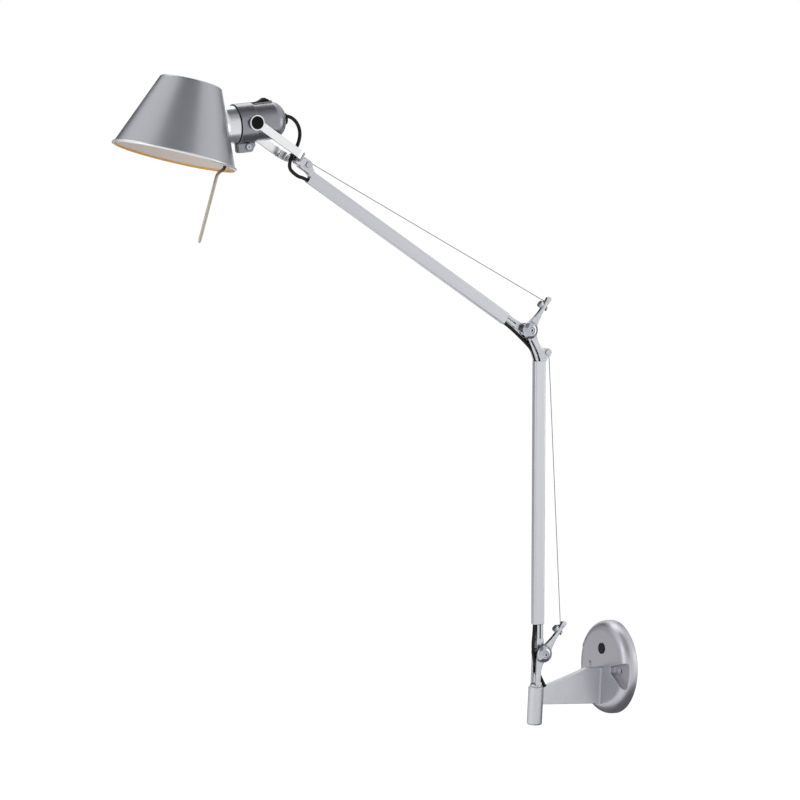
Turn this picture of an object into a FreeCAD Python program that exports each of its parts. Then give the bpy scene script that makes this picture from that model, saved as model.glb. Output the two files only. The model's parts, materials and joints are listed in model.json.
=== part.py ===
import FreeCAD, Part
import math
import os
from FreeCAD import Placement, Rotation, Vector

# An articulating wall lamp. Millimetres and degrees, +Z up, the wall is the plane Y = 0,
# the lamp reaches towards -Y, and the origin is the centre of the wall plate's back face.
# Everything that folds lies in the plane X = 0.

os.makedirs("parts", exist_ok=True)

# Rest pose: angles from the horizontal that points at the wall, turning away from it.
lower_arm_angle = 92.9
upper_arm_angle = 149.65
holder_tilt = 9.1
shade_lean = 11.3

# Wall plate
plate_radius = 72.5
plate_depth = 21.5
plate_wall = 3.5
rim_round = 16.0
pocket_floor = 13.0
pocket_reach = 70.0
pocket_inner = 28.0
pocket_half_height = 4.8
pocket_rise = 13.5
pocket_fall = 22.5
pocket_corner = 3.0
wall_screw_spacing = 88.0
wall_screw_hole = 5.2
wall_screw_sink = 9.0
wall_screw_sink_depth = 1.6
plug_height = 29.0
plug_hole = 14.0
plug_lip = 1.5

# Bracket arm: the web and the sleeve that carries the stem
stem_reach = 136.4
sleeve_radius = 11.75
sleeve_top = -26.7
sleeve_length = 58.2
sleeve_floor = 8.9
web_thickness = 10.0
web_top = -0.3
web_bottom = -56.5
web_flange = 2.5
web_crown_reach, web_crown_drop = 45.0, 1.4
web_bend_reach, web_bend_drop = 60.0, 4.6
web_knee_reach, web_knee_drop = 95.0, 16.5
root_screw_radius = 2.0
channel_radius = 3.1

# Stem
bush_wall = 1.9
bush_flange = 1.0
spigot_radius = 6.0
turning_gap = 0.06
collar_radius = 9.8
collar_height = 3.0
leg_thickness = 4.0
leg_width = 7.5
pivot_rise = 52.2
pivot_set_back = 5.0

# Arm joints: both joints are built alike
tongue_thickness = 8.0
washer_thickness = 0.4
cheek_thickness = 6.0
side_gap = 0.05
hub_radius = 10.5
tongue_radius = 9.5
joint_screw_radius = 3.0
cap_radius = 12.8
cap_height = 6.6
cap_recess = 4.6
lever_radius = 57.0
lever_angle = 36.5
lever_waist = 3.5
lever_tip_radius = 3.8
anchor_radius = 51.0
anchor_stud_radius = 1.5
trim_radius = 43.0
trim_head_radius = 5.2
trim_head_length = 5.0

# Arms
tube_width = 18.5
tube_depth = 11.5
tube_wall = 0.9
tube_corner = 2.5
tube_offset = -5.5
fit_gap = 0.06
insert_length = 20.0
insert_top = 2.8
insert_bottom = -8.0
lower_tube_start = 45.8
lower_tube_length = 403.2
upper_tube_start = 40.9
upper_tube_length = 389.9
elbow_rise = 48.0
elbow_across = -28.0
elbow_rib = 3.4
elbow_slot = 3.2
rail_height = 4.3
rail_gap = 1.8
rail_top = 2.2
block_start = 9.0
block_end = 23.0
pulley_ahead = 12.8
pulley_across = 6.7
pulley_rim = 5.8
pulley_groove = 4.4
pulley_width = 4.0
pulley_gap = 0.2
pulley_pin_radius = 1.5
pulley_pin_head = 4.2
boss_radius = 6.5
wire_radius = 0.6
spring_radius = 4.2
spring_wire = 0.9
spring_across = -2.0
spring_end_gap = 30.0

# Fork and its swivel
fork_reach = 91.1
head_line = 5.0
nose_radius = 8.0
nose_length = 32.0
swivel_washer = 0.5
swivel_screw_radius = 3.0
fork_bar = 3.5
fork_width = 11.8
fork_inner = 31.2
fork_bend = 14.0
fork_eye_radius = 11.0
head_cap_radius = 8.9
head_cap_height = 1.6
head_screw_radius = 2.5
spacer_radius = 8.5

# Lampholder
clamp_front = -20.5
clamp_back = 5.8
clamp_radius = 29.0
clamp_bore = 26.2
ear_split = 2.5
ear_drop = 12.0
housing_radius = 27.0
housing_wall = 2.2
housing_back = 55.4
housing_round = 19.4
gland_radius = 8.4
gland_length = 5.0
gasket_thickness = 1.2
socket_radius = 19.0
socket_bore = 14.1
socket_front = -24.0
socket_back = 4.0
shell_wall = 0.6
bulb_cap_radius = 13.2
bulb_radius = 27.5
bulb_end = -95.0
bulb_wall = 1.0
thread_pitch = 3.6
thread_turns = 6
switch_length = 26.0
switch_width = 13.6
switch_middle = 24.0
switch_depth = 14.0
switch_pad = 27.2
rocker_peak = 33.2

# Shade, measured from the centre of its rim
rim_radius = 90.0
bead_radius = 2.0
shade_top_radius = 43.8
shade_height = 108.0
shade_wall = 1.2
shade_top_round = 4.0
shade_forward = 97.7
shade_drop = 73.7
neck_radius = 26.0
neck_bore = 22.5
neck_flare = 30.0
neck_straight = 15.0
neck_spigot = 9.0
inner_ring_radius = 28.5
inner_ring_depth = 3.0
handle_radius = 2.3
handle_inset = 2.6
handle_top = 30.0
handle_bend = 3.0
handle_drop = 104.0
handle_lean = 3.6
handle_clamp_height = 20.0
handle_clamp_length = 10.0

# Flexible lead
cable_radius = 2.6
cable_across = -11.1

# Places worked out from the sizes above
cheek_inner = tongue_thickness / 2 + washer_thickness + 2 * side_gap
cheek_outer = cheek_inner + cheek_thickness
lower_pivot = Vector(0, pivot_set_back - stem_reach, sleeve_top + pivot_rise)
lower_frame = Placement(lower_pivot, Rotation(Vector(1, 0, 0), lower_arm_angle - 90))
lower_tube_end = lower_tube_start + lower_tube_length
upper_tube_end = upper_tube_start + upper_tube_length
elbow_along = lower_tube_end + elbow_rise
elbow_pivot = lower_frame.multVec(Vector(0, elbow_across, elbow_along))
upper_frame = Placement(elbow_pivot, Rotation(Vector(1, 0, 0), upper_arm_angle - 90))
fork_seat = upper_tube_end + nose_length + swivel_washer + 2 * side_gap
head_along = fork_seat + fork_reach
head_pivot = upper_frame.multVec(Vector(0, head_line, head_along))
holder_frame = Placement(head_pivot, Rotation(Vector(1, 0, 0), holder_tilt))
shade_turn = Rotation(Vector(1, 0, 0), -shade_lean)
shade_origin = head_pivot + shade_turn.multVec(Vector(0, -shade_forward, -shade_drop))
shade_frame = Placement(shade_origin, shade_turn)
wall_slope = (rim_radius - bead_radius - shade_top_radius) / shade_height


def point(y, z, x=0.0):
    return Vector(x, y, z)


def outline(start, *steps):
    # A closed wire in the YZ plane. A step is the next corner, or the middle and end of an arc.
    edges = []
    here = point(*start)
    for step in steps + (start,):
        if isinstance(step[0], tuple):
            middle, end = point(*step[0]), point(*step[1])
            edges.append(Part.Arc(here, middle, end).toShape())
        else:
            end = point(*step)
            if end.isEqual(here, 1e-6):
                continue
            edges.append(Part.LineSegment(here, end).toShape())
        here = end
    return Part.Wire(edges)


def touch_point(outer, centre, radius, side):
    # Where the straight line from an outside point touches a circle.
    away = (outer[0] - centre[0], outer[1] - centre[1])
    turn = math.atan2(away[1], away[0]) + side * math.acos(radius / math.hypot(*away))
    return centre[0] + radius * math.cos(turn), centre[1] + radius * math.sin(turn), turn


def slab(wire, x_start, x_end):
    face = Part.Face(wire)
    face.translate(Vector(x_start, 0, 0))
    return face.extrude(Vector(x_end - x_start, 0, 0))


def turned(wire, axis):
    return Part.Face(wire).revolve(Vector(0, 0, 0), axis, 360)


def turned_on_y(start, *steps):
    # Corners are given as distance along Y and radius.
    return turned(outline(start, *steps), Vector(0, 1, 0))


def turned_on_z(start, *steps):
    # Corners are given as radius and distance along Z.
    return turned(outline(start, *steps), Vector(0, 0, 1))


def disc_x(radius, x_start, x_end, y=0.0, z=0.0):
    return Part.makeCylinder(radius, x_end - x_start, point(y, z, x_start), Vector(1, 0, 0))


def disc_y(radius, y_start, y_end, x=0.0, z=0.0):
    return Part.makeCylinder(radius, y_end - y_start, Vector(x, y_start, z), Vector(0, 1, 0))


def disc_z(radius, z_start, z_end, y=0.0, x=0.0):
    return Part.makeCylinder(radius, z_end - z_start, Vector(x, y, z_start), Vector(0, 0, 1))


def block(x_range, y_range, z_range):
    corner = Vector(x_range[0], y_range[0], z_range[0])
    return Part.makeBox(x_range[1] - x_range[0], y_range[1] - y_range[0], z_range[1] - z_range[0], corner)


def both_sides(shape):
    return shape.fuse(shape.mirror(Vector(0, 0, 0), Vector(1, 0, 0)))


def nut_x(width, x_start, x_end, y=0.0, z=0.0):
    corners = []
    for corner in range(7):
        turn = math.radians(60 * corner)
        corners.append(point(y + width * math.cos(turn), z + width * math.sin(turn), x_start))
    face = Part.Face(Part.makePolygon(corners))
    return face.extrude(Vector(x_end - x_start, 0, 0))


def blade(tip, tip_radius, waist, x_start, x_end):
    # A flat lever from a hub at the local origin, drawn in on both sides, to a rounded tip.
    reach = math.hypot(*tip)
    along = (tip[0] / reach, tip[1] / reach)
    side = (-along[1], along[0])

    def corner(forward, sideways):
        return (forward * along[0] + sideways * side[0], forward * along[1] + sideways * side[1])

    wire = outline(
        corner(0.5 * hub_radius, 0.866 * hub_radius),
        (corner(0.5 * reach, waist), corner(reach, tip_radius)),
        (corner(reach + tip_radius, 0), corner(reach, -tip_radius)),
        (corner(0.5 * reach, -waist), corner(0.5 * hub_radius, -0.866 * hub_radius)),
        (corner(-hub_radius, 0), corner(0.5 * hub_radius, 0.866 * hub_radius)),
    )
    return slab(wire, x_start, x_end)


def lead_path(corners, name):
    # Straight runs joined by tangent arcs. The radius of each arc follows from its two runs.
    spots = [point(*corner) for corner in corners]
    edges = []
    here = spots[0]
    radii = []
    for before, corner, after in zip(spots, spots[1:], spots[2:]):
        back = (before - corner).normalize()
        ahead = (after - corner).normalize()
        half_turn = (math.pi - back.getAngle(ahead)) / 2
        setback = 0.45 * min((before - corner).Length, (after - corner).Length)
        radius = setback / math.tan(half_turn)
        radii.append(round(radius, 1))
        arc_start = corner + back * setback
        arc_end = corner + ahead * setback
        inwards = (back + ahead).normalize()
        arc_middle = corner + inwards * (radius / math.cos(half_turn) - radius)
        edges.append(Part.LineSegment(here, arc_start).toShape())
        edges.append(Part.Arc(arc_start, arc_middle, arc_end).toShape())
        here = arc_end
    edges.append(Part.LineSegment(here, spots[-1]).toShape())
    path = Part.Wire(edges)
    print(name, "bend radii", radii, "length", round(path.Length, 1))
    return path


def swept(path, radius, name):
    start = path.Edges[0].firstVertex().Point
    heading = path.Edges[0].tangentAt(path.Edges[0].FirstParameter)
    ring = Part.Wire(Part.makeCircle(radius, start, heading))
    tube = path.makePipeShell([ring], True, False)
    ideal = math.pi * radius * radius * path.Length
    print(name, "volume ratio", round(tube.Volume / ideal, 3))
    return tube


def lead(corners, name):
    return swept(lead_path(corners, name), cable_radius, name)


def save(name, shape, frame=None):
    result = shape.removeSplitter() if shape.ShapeType != "Solid" else shape
    if frame is not None:
        result = result.copy()
        result.Placement = frame.multiply(result.Placement)
    assert result.isValid(), name
    count = len(result.Solids)
    assert count >= 1, name
    result.exportStep(os.path.join("parts", name + ".step"))
    print(name, "solids", count, "volume", round(result.Volume, 1))


# ---------------------------------------------------------------- wall side

def fans(grow, depth_start, depth_end):
    # The fan-shaped pocket on the +X side opens wider downwards. The other is turned half a turn.
    rise, fall = math.radians(pocket_rise), math.radians(pocket_fall)
    inner = pocket_inner - grow
    half = pocket_half_height + grow
    reach = pocket_reach + grow
    low, high = Vector(inner, 0, -half), Vector(inner, 0, half)
    high_corner = Vector(reach * math.cos(rise), 0, reach * math.sin(rise) + grow)
    low_corner = Vector(reach * math.cos(fall), 0, -reach * math.sin(fall) - grow)
    sides = [
        Part.LineSegment(low, high).toShape(),
        Part.LineSegment(high, high_corner).toShape(),
        Part.Arc(high_corner, Vector(reach, 0, 0), low_corner).toShape(),
        Part.LineSegment(low_corner, low).toShape(),
    ]
    face = Part.Face(Part.Wire(sides))
    face.translate(Vector(0, depth_start, 0))
    pocket = face.extrude(Vector(0, depth_end - depth_start, 0))
    uprights = [edge for edge in pocket.Edges if abs(edge.tangentAt(edge.FirstParameter).y) > 0.9]
    pocket = pocket.makeFillet(pocket_corner, uprights)
    other = pocket.copy()
    other.rotate(Vector(0, 0, 0), Vector(0, 1, 0), 180)
    return pocket.fuse(other)


def make_wall_plate():
    flat = plate_radius - rim_round
    skin = plate_wall
    turn = math.sqrt(0.5)
    side = rim_round - plate_depth
    body = turned_on_y(
        (0, 0), (0, plate_radius), (side, plate_radius),
        ((side - turn * rim_round, flat + turn * rim_round), (-plate_depth, flat)), (-plate_depth, 0),
    )
    small = rim_round - skin
    hollow = turned_on_y(
        (1, 0), (1, plate_radius - skin), (side, plate_radius - skin),
        ((side - turn * small, flat + turn * small), (skin - plate_depth, flat)), (skin - plate_depth, 0),
    )
    hollow = hollow.cut(fans(skin, -plate_depth, 2))
    body = body.cut(hollow)
    body = body.cut(fans(0, -plate_depth - 1, -pocket_floor))
    screw_x = wall_screw_spacing / 2
    sink_floor = wall_screw_sink_depth - pocket_floor
    body = body.cut(both_sides(disc_y(wall_screw_hole / 2, -plate_depth, 1, screw_x)))
    body = body.cut(both_sides(disc_y(wall_screw_sink / 2, -plate_depth, sink_floor, screw_x)))
    body = body.cut(disc_y(plug_hole / 2, -plate_depth - 1, 0, 0, plug_height))
    for height in root_screw_heights:
        body = body.cut(disc_y(root_screw_radius + 0.1, -plate_depth - 1, 0, 0, height))
    return body.cut(disc_y(channel_radius, -plate_depth - 1, 0, 0, channel_height))


def make_hole_plug():
    stem = disc_y(plug_hole / 2 - fit_gap, -plate_depth - 1.2, plate_wall - plate_depth, 0, plug_height)
    lip = disc_y(plug_hole / 2 + plug_lip, -plate_depth - 1.2, -plate_depth, 0, plug_height)
    return lip.fuse(stem)


def web_outline():
    # The upper edge falls from the plate over a round crown, a bend and a knee to the sleeve.
    sleeve_back = sleeve_radius * 0.6 - stem_reach
    crown_middle = (web_bend_reach + web_crown_reach) / 2
    return outline(
        (sleeve_back, sleeve_top - 2.5),
        (sleeve_radius - stem_reach, sleeve_top - 0.3),
        (-web_knee_reach, web_top - web_knee_drop), (-web_bend_reach, web_top - web_bend_drop),
        ((-crown_middle, web_top - web_crown_drop), (-web_crown_reach, web_top)),
        (-plate_depth, web_top), (-plate_depth, web_bottom), (sleeve_back, web_bottom + 3),
    )


def make_bracket_arm():
    sleeve_bottom = sleeve_top - sleeve_length
    sleeve = disc_z(sleeve_radius, sleeve_bottom, sleeve_top, -stem_reach)
    low_rim = [edge for edge in sleeve.Edges if edge.CenterOfMass.z < sleeve_bottom + 0.1 and edge.Closed]
    sleeve = sleeve.makeFillet(3.0, low_rim)
    web = slab(web_outline(), -web_thickness / 2, web_thickness / 2)
    half_flange = web_thickness / 2 + web_flange
    flange = block((-half_flange, half_flange), (-plate_depth - 3, -plate_depth), (web_bottom, web_top))
    arm = sleeve.fuse([web, flange])
    bore = disc_z(bush_radius, sleeve_bottom + sleeve_floor, sleeve_top + 5, -stem_reach)
    screw_way = disc_z(retaining_radius + 0.3, sleeve_bottom - 1, sleeve_top, -stem_reach)
    head_way = disc_z(retaining_head + 0.5, sleeve_bottom - 1, sleeve_bottom + 4.6, -stem_reach)
    channel = swept(bracket_path, channel_radius, "channel")
    mouth, inwards = point(*base_entry), point(*entry_corner) - point(*base_entry)
    inwards.normalize()
    channel_mouth = Part.makeCylinder(channel_radius, 10, mouth - inwards * 8, inwards)
    arm = arm.cut([bore, screw_way, head_way, channel, channel_mouth])
    for height in root_screw_heights:
        arm = arm.cut(disc_y(root_screw_radius, -plate_depth - 14, -plate_depth + 1, 0, height))
    return arm


def make_root_screws():
    screws = []
    back = plate_wall - plate_depth
    for height in root_screw_heights:
        shank = disc_y(root_screw_radius - fit_gap, -plate_depth - 13, back + 1, 0, height)
        head = disc_y(root_screw_radius * 2, back, back + 3, 0, height)
        screws.append(head.fuse(shank).cut(disc_y(1.2, back + 1.2, back + 4, 0, height)))
    return Part.makeCompound(screws)


def make_terminal_block():
    back = plate_wall - plate_depth
    low = channel_height - 4
    body = block((-12, 12), (back, back + 11), (low, low + 18))
    for x in (-7.5, 0, 7.5):
        body = body.cut(disc_y(2.0, back + 6, back + 12, x, low + 4))
        body = body.cut(disc_y(2.0, back + 6, back + 12, x, low + 14))
    return body.cut(disc_y(cable_radius + 0.2, back - 1, back + 5, 0, channel_height))


def make_stem_bush():
    low = sleeve_top - sleeve_length + sleeve_floor
    tube = disc_z(bush_radius - fit_gap, low, sleeve_top + bush_flange, -stem_reach)
    flange = disc_z(collar_radius, sleeve_top, sleeve_top + bush_flange, -stem_reach)
    bore = disc_z(spigot_radius + turning_gap, low - 1, sleeve_top + 5, -stem_reach)
    return tube.fuse(flange).cut(bore)


# ---------------------------------------------------------------- stem and joint hardware

def lever(x_start, x_end, with_holes=True):
    # The wire lever of a joint, in the frame of the joint's lower member.
    turn = math.radians(lever_angle)
    tip = (lever_radius * math.sin(turn), lever_radius * math.cos(turn))
    shape = blade(tip, lever_tip_radius, lever_waist, x_start, x_end)
    stud = anchor_place()
    shape = shape.cut(disc_x(anchor_stud_radius, x_start - 1, x_end + 1, stud[0], stud[1]))
    return shape.cut(trim_shank(trim_shank_radius + fit_gap))


def anchor_place():
    turn = math.radians(lever_angle + 1.0)
    return anchor_radius * math.sin(turn), anchor_radius * math.cos(turn)


def trim_axis():
    turn = math.radians(lever_angle)
    middle = Vector((cheek_inner + cheek_outer) / 2, trim_radius * math.sin(turn), trim_radius * math.cos(turn))
    across = Vector(0, -math.cos(turn), math.sin(turn))
    return middle, across


def trim_shank(radius):
    middle, across = trim_axis()
    return Part.makeCylinder(radius, 16, middle - across * 8, across)


def make_trim_screw():
    # The knurled screw that stands across the lever, with its head on the side away from the wall.
    middle, across = trim_axis()
    seat = lever_waist + 0.7
    head = Part.makeCylinder(trim_head_radius, trim_head_length, middle + across * seat, across)
    grooves = []
    for step in range(16):
        turn = math.radians(22.5 * step)
        rim = Vector(1, 0, 0) * math.cos(turn) + across.cross(Vector(1, 0, 0)) * math.sin(turn)
        start = middle + across * (seat - 1) + rim * (trim_head_radius + 0.35)
        grooves.append(Part.makeCylinder(0.6, trim_head_length + 2, start, across))
    head = head.cut(grooves)
    shank = Part.makeCylinder(trim_shank_radius, seat + 7.5, middle - across * 7, across)
    return head.fuse(shank)


def make_trim_nut():
    middle, across = trim_axis()
    ring = nut_x(3.4, 0, 2.4)
    ring = ring.cut(disc_x(trim_shank_radius + fit_gap, -1, 4))
    turn = Rotation(Vector(1, 0, 0), across)
    ring.Placement = Placement(middle - across * (lever_waist + 3.1), turn)
    return ring


def make_anchor_stud():
    y, z = anchor_place()
    stud = disc_x(anchor_stud_radius - fit_gap, -2.2, cheek_outer, y, z)
    head = disc_x(anchor_stud_radius + 1.0, -2.8, -1.4, y, z)
    shoulder = disc_x(anchor_stud_radius + 1.0, 1.4, cheek_inner, y, z)
    return stud.fuse([head, shoulder])


def cheek_hub(side):
    inner = side * cheek_inner
    outer = side * cheek_outer
    return disc_x(hub_radius, min(inner, outer), max(inner, outer))


def make_stem_casting():
    foot = sleeve_top + bush_flange + side_gap - lower_pivot.z
    top = foot + collar_height
    axis_y = -pivot_set_back
    spigot_low = sleeve_top - sleeve_length + sleeve_floor + 0.3 - lower_pivot.z
    spigot = disc_z(spigot_radius, spigot_low, top, axis_y)
    collar = disc_z(collar_radius, foot, top, axis_y)
    collar = collar.makeFillet(0.8, [edge for edge in collar.Edges if edge.Closed and edge.CenterOfMass.z > top - 0.1])
    outer_edge = axis_y - leg_width * 0.66
    inner_edge = outer_edge + leg_width
    leg = slab(outline(
        (outer_edge, top - 1), (-hub_radius, 0),
        ((0, hub_radius), (hub_radius, 0)),
        ((hub_radius * 0.866, -hub_radius * 0.5), (hub_radius * 0.64, -hub_radius * 0.768)),
        ((inner_edge + 1.6, -hub_radius * 1.9), (inner_edge, -hub_radius * 3)),
        (inner_edge, top - 1),
    ), cheek_inner, cheek_inner + leg_thickness)
    legs = both_sides(leg)
    casting = spigot.fuse([collar, legs, cheek_hub(1), cheek_hub(-1), lever(cheek_inner, cheek_outer)])
    casting = casting.cut(disc_x(joint_screw_radius + fit_gap, -20, 20))
    return casting.cut(disc_z(retaining_radius, spigot_low - 1, spigot_low + 14, axis_y))


def make_retaining_screw():
    low = sleeve_top - sleeve_length + 0.6
    head = disc_z(retaining_head, low, low + 3.8, -stem_reach)
    shank_top = sleeve_top - sleeve_length + sleeve_floor + 12
    shank = disc_z(retaining_radius - fit_gap, low, shank_top, -stem_reach)
    socket = disc_z(1.8, low - 1, low + 2, -stem_reach)
    return head.fuse(shank).cut(socket)


def make_joint_screw():
    head_start = cheek_outer + 2.6
    head = disc_x(cap_recess - 0.3, head_start, head_start + 3.4)
    shank = disc_x(joint_screw_radius, -cheek_outer - 5.4, head_start)
    hexagon = nut_x(2.4, head_start + 1.2, head_start + 4)
    return head.fuse(shank).cut(hexagon)


def make_joint_cap():
    start = cheek_outer + side_gap
    top = start + cap_height
    profile = outline(
        (0, start), (cap_radius, start), (cap_radius, start + 2.0),
        ((cap_radius * 0.8, top - 1.9), (cap_recess + 0.6, top)),
        (cap_recess, top), (cap_recess, cheek_outer + 2.6), (0, cheek_outer + 2.6),
    )
    cap = turned(profile, Vector(0, 0, 1))
    cap.rotate(Vector(0, 0, 0), Vector(0, 1, 0), 90)
    return cap.cut(disc_x(joint_screw_radius + fit_gap, start - 1, top + 1))


def make_joint_nut():
    nut = nut_x(5.8, -cheek_outer - 4.6, -cheek_outer - side_gap)
    return nut.cut(disc_x(joint_screw_radius + fit_gap, -30, 0))


def make_friction_washers():
    start = tongue_thickness / 2 + side_gap
    washer = disc_x(tongue_radius - 0.5, start, start + washer_thickness)
    return both_sides(washer.cut(disc_x(joint_screw_radius + fit_gap, 0, 20)))


def save_joint_hardware(joint, frame):
    fixed = [make_joint_screw(), make_joint_nut(), make_anchor_stud(), make_trim_nut()]
    save(joint + "_joint_fasteners", Part.makeCompound(fixed), frame)
    save(joint + "_joint_cap", make_joint_cap(), frame)
    save(joint + "_friction_washers", make_friction_washers(), frame)
    save(joint + "_trim_screw", make_trim_screw(), frame)


# ---------------------------------------------------------------- arms

def rounded_bar(depth, width, corner, z_start, z_end):
    bar = block((-depth / 2, depth / 2), (tube_offset - width / 2, tube_offset + width / 2), (z_start, z_end))
    uprights = [edge for edge in bar.Edges if abs(edge.tangentAt(edge.FirstParameter).z) > 0.9]
    return bar.makeFillet(corner, uprights)


def make_arm_tube(start, length):
    outside = rounded_bar(tube_depth, tube_width, tube_corner, start, start + length)
    double = 2 * tube_wall
    bore = rounded_bar(tube_depth - double, tube_width - double, tube_corner - tube_wall, start - 1, start + length + 1)
    return outside.cut(bore)


def tube_insert(z_start, z_end):
    # The block of a casting that fills the tube beside the lead.
    half = tube_depth / 2 - tube_wall - fit_gap
    top = tube_offset + tube_width / 2 - tube_wall - fit_gap
    insert = block((-half, half), (insert_bottom, top), (z_start, z_end))
    uprights = []
    for edge in insert.Edges:
        if abs(edge.tangentAt(edge.FirstParameter).z) > 0.9 and edge.CenterOfMass.y > 0:
            uprights.append(edge)
    return insert.makeFillet(tube_corner - tube_wall, uprights)


def make_arm_root(tube_start):
    # The tongue on the pivot, a block and two rails that reach into the tube.
    half = tongue_thickness / 2
    hub = disc_x(tongue_radius, -half, half)
    low = rail_top - 2 * rail_height - rail_gap
    body = slab(outline(
        (low - 0.6, block_start), (low - 0.6, block_end - 1.5),
        ((low - 0.2, block_end - 0.4), (low + 0.8, block_end)),
        (rail_top - 0.4, block_end), ((rail_top + 0.4, block_end - 0.5), (rail_top + 0.8, block_end - 1.5)),
        (rail_top + 0.8, block_start - 5), (-tongue_radius * 0.6, block_start - 5),
    ), -half, half)
    upper_rail = block((-half, half), (rail_top - rail_height, rail_top), (block_end - 2, tube_start + 4))
    lower_rail = block((-half, half), (low, low + rail_height), (block_end - 2, tube_start + 4))
    insert = tube_insert(tube_start + side_gap, tube_start + insert_length)
    root = hub.fuse([body, upper_rail, lower_rail, insert])
    return root.cut(disc_x(joint_screw_radius + turning_gap, -10, 10))


def pulley_place(tube_end):
    return pulley_across, tube_end + pulley_ahead


def cut_pulley_room(casting, tube_end):
    y, z = pulley_place(tube_end)
    half = pulley_width / 2 + pulley_gap
    room = disc_x(pulley_rim + 0.5, -half, half, y, z)
    room = room.fuse(block((-half, half), (y, y + 14), (z - pulley_rim - 0.5, z + pulley_rim + 0.5)))
    wire_way = block((-1.4, 1.4), (spring_across - 1.4, 6), (tube_end - insert_length - 2, z))
    pin_hole = disc_x(pulley_pin_radius + fit_gap, -20, 20, y, z)
    return casting.cut([room, wire_way, pin_hole])


def make_elbow_casting():
    # From the tube past the pulley to the elbow hub, with the wire lever on the near cheek.
    end = lower_tube_end
    half_tube = tube_depth / 2
    y, z = pulley_place(end)
    hub_y, hub_z = elbow_across, elbow_along
    rib_y = tube_offset - tube_width / 2 + 2.0
    bow_y, bow_z = -7.2, end + 18.4
    band = slab(outline(
        (rib_y, end), ((rib_y + bow_y, bow_z), (hub_y - 0.57 * hub_radius, hub_z - 0.82 * hub_radius)),
        ((hub_y - hub_radius, hub_z), (hub_y, hub_z + hub_radius)),
        ((hub_y + 0.707 * hub_radius, hub_z + 0.707 * hub_radius), (hub_y + hub_radius, hub_z)),
        ((hub_y + 17.5, hub_z - 20), (y - 0.8 * boss_radius, z + 0.6 * boss_radius)),
        ((y + 0.3 * boss_radius, z + 0.954 * boss_radius), (y + boss_radius, z)),
        ((y + 0.8 * boss_radius, z - 0.6 * boss_radius), (y + 0.2 * boss_radius, z - 0.98 * boss_radius)),
        (tube_offset + tube_width / 2, end),
    ), -cheek_outer, cheek_outer)
    narrow_until = z + boss_radius + 2
    wide_from = hub_z - hub_radius
    plan = []
    for x, height in (
        (-half_tube, end - 1), (-half_tube, narrow_until), (-cheek_outer, wide_from), (-cheek_outer, hub_z + 20),
        (cheek_outer, hub_z + 20), (cheek_outer, wide_from), (half_tube, narrow_until), (half_tube, end - 1),
        (-half_tube, end - 1),
    ):
        plan.append(Vector(x, hub_y - 2 * hub_radius, height))
    taper = Part.Face(Part.makePolygon(plan)).extrude(Vector(0, y - hub_y + 4 * hub_radius, 0))
    casting = band.common(taper)
    # The slot between the rib and the web, and the channel in which the lead lies between the ribs.
    slot_y = rib_y + elbow_rib
    slot_end = slot_y + elbow_slot
    slot = slab(outline(
        (slot_y, end), ((slot_y + bow_y, bow_z), (hub_y + 2.4, hub_z - 15.8)),
        (hub_y + 3.6, hub_z - 14.8), ((slot_end + bow_y + 0.2, bow_z), (slot_end, end)),
    ), -2 * cheek_outer, 2 * cheek_outer)
    channel_half = cable_radius + 0.5
    lead_edge = cable_across + cable_radius + 0.5
    channel = slab(outline(
        (lead_edge, end - 1), (lead_edge, end + 8), (lead_edge - 9.6, end + 22), (hub_y, hub_z - hub_radius - 3),
        (hub_y - 2 * hub_radius, hub_z), (hub_y - 2 * hub_radius, end - 1),
    ), -channel_half, channel_half)
    arm = lever(cheek_inner, cheek_outer)
    arm.translate(Vector(0, hub_y, hub_z))
    casting = casting.cut([slot, channel]).fuse([arm, tube_insert(end - insert_length, end + 0.5)])
    casting = casting.cut(disc_x(hub_radius + 1.0, -cheek_inner, cheek_inner, hub_y, hub_z))
    casting = casting.cut(disc_x(joint_screw_radius + fit_gap, -20, 20, hub_y, hub_z))
    return cut_pulley_room(casting, end)


def make_arm_end():
    # Carries the upper pulley and the nose that the fork swivels on.
    end = upper_tube_end
    half_tube = tube_depth / 2
    y, z = pulley_place(end)
    low = head_line - nose_radius
    high = head_line + nose_radius
    body = slab(outline(
        (insert_bottom + 2.2, end), ((-4.2, end + 3), (low, end + 6.5)), (low, z + boss_radius + 4),
        (high, z + boss_radius + 4), (high, z + 2),
        ((y + 0.8 * boss_radius, z - 0.6 * boss_radius), (y + 0.2 * boss_radius, z - 0.98 * boss_radius)),
        (tube_offset + tube_width / 2, end),
    ), -half_tube, half_tube)
    nose = disc_z(nose_radius, z + boss_radius - 1, end + nose_length, head_line)
    nose = nose.makeFillet(1.0, [edge for edge in nose.Edges if edge.Closed and edge.CenterOfMass.z > end + nose_length - 0.1])
    casting = body.fuse([nose, tube_insert(end - insert_length, end + 0.5)])
    thread = disc_z(swivel_screw_radius, z + pulley_rim + 2.5, end + nose_length + 1, head_line)
    return cut_pulley_room(casting, end).cut(thread)


def make_pulley(tube_end):
    half = pulley_width / 2
    profile = outline(
        (0, -half), (pulley_rim, -half), (pulley_rim, 0.25 - half),
        ((pulley_groove, 0), (pulley_rim, half - 0.25)), (pulley_rim, half), (0, half),
    )
    wheel = turned(profile, Vector(0, 0, 1))
    wheel.rotate(Vector(0, 0, 0), Vector(0, 1, 0), 90)
    wheel = wheel.cut(disc_x(pulley_pin_radius + turning_gap, -5, 5))
    y, z = pulley_place(tube_end)
    wheel.translate(Vector(0, y, z))
    return wheel


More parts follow.
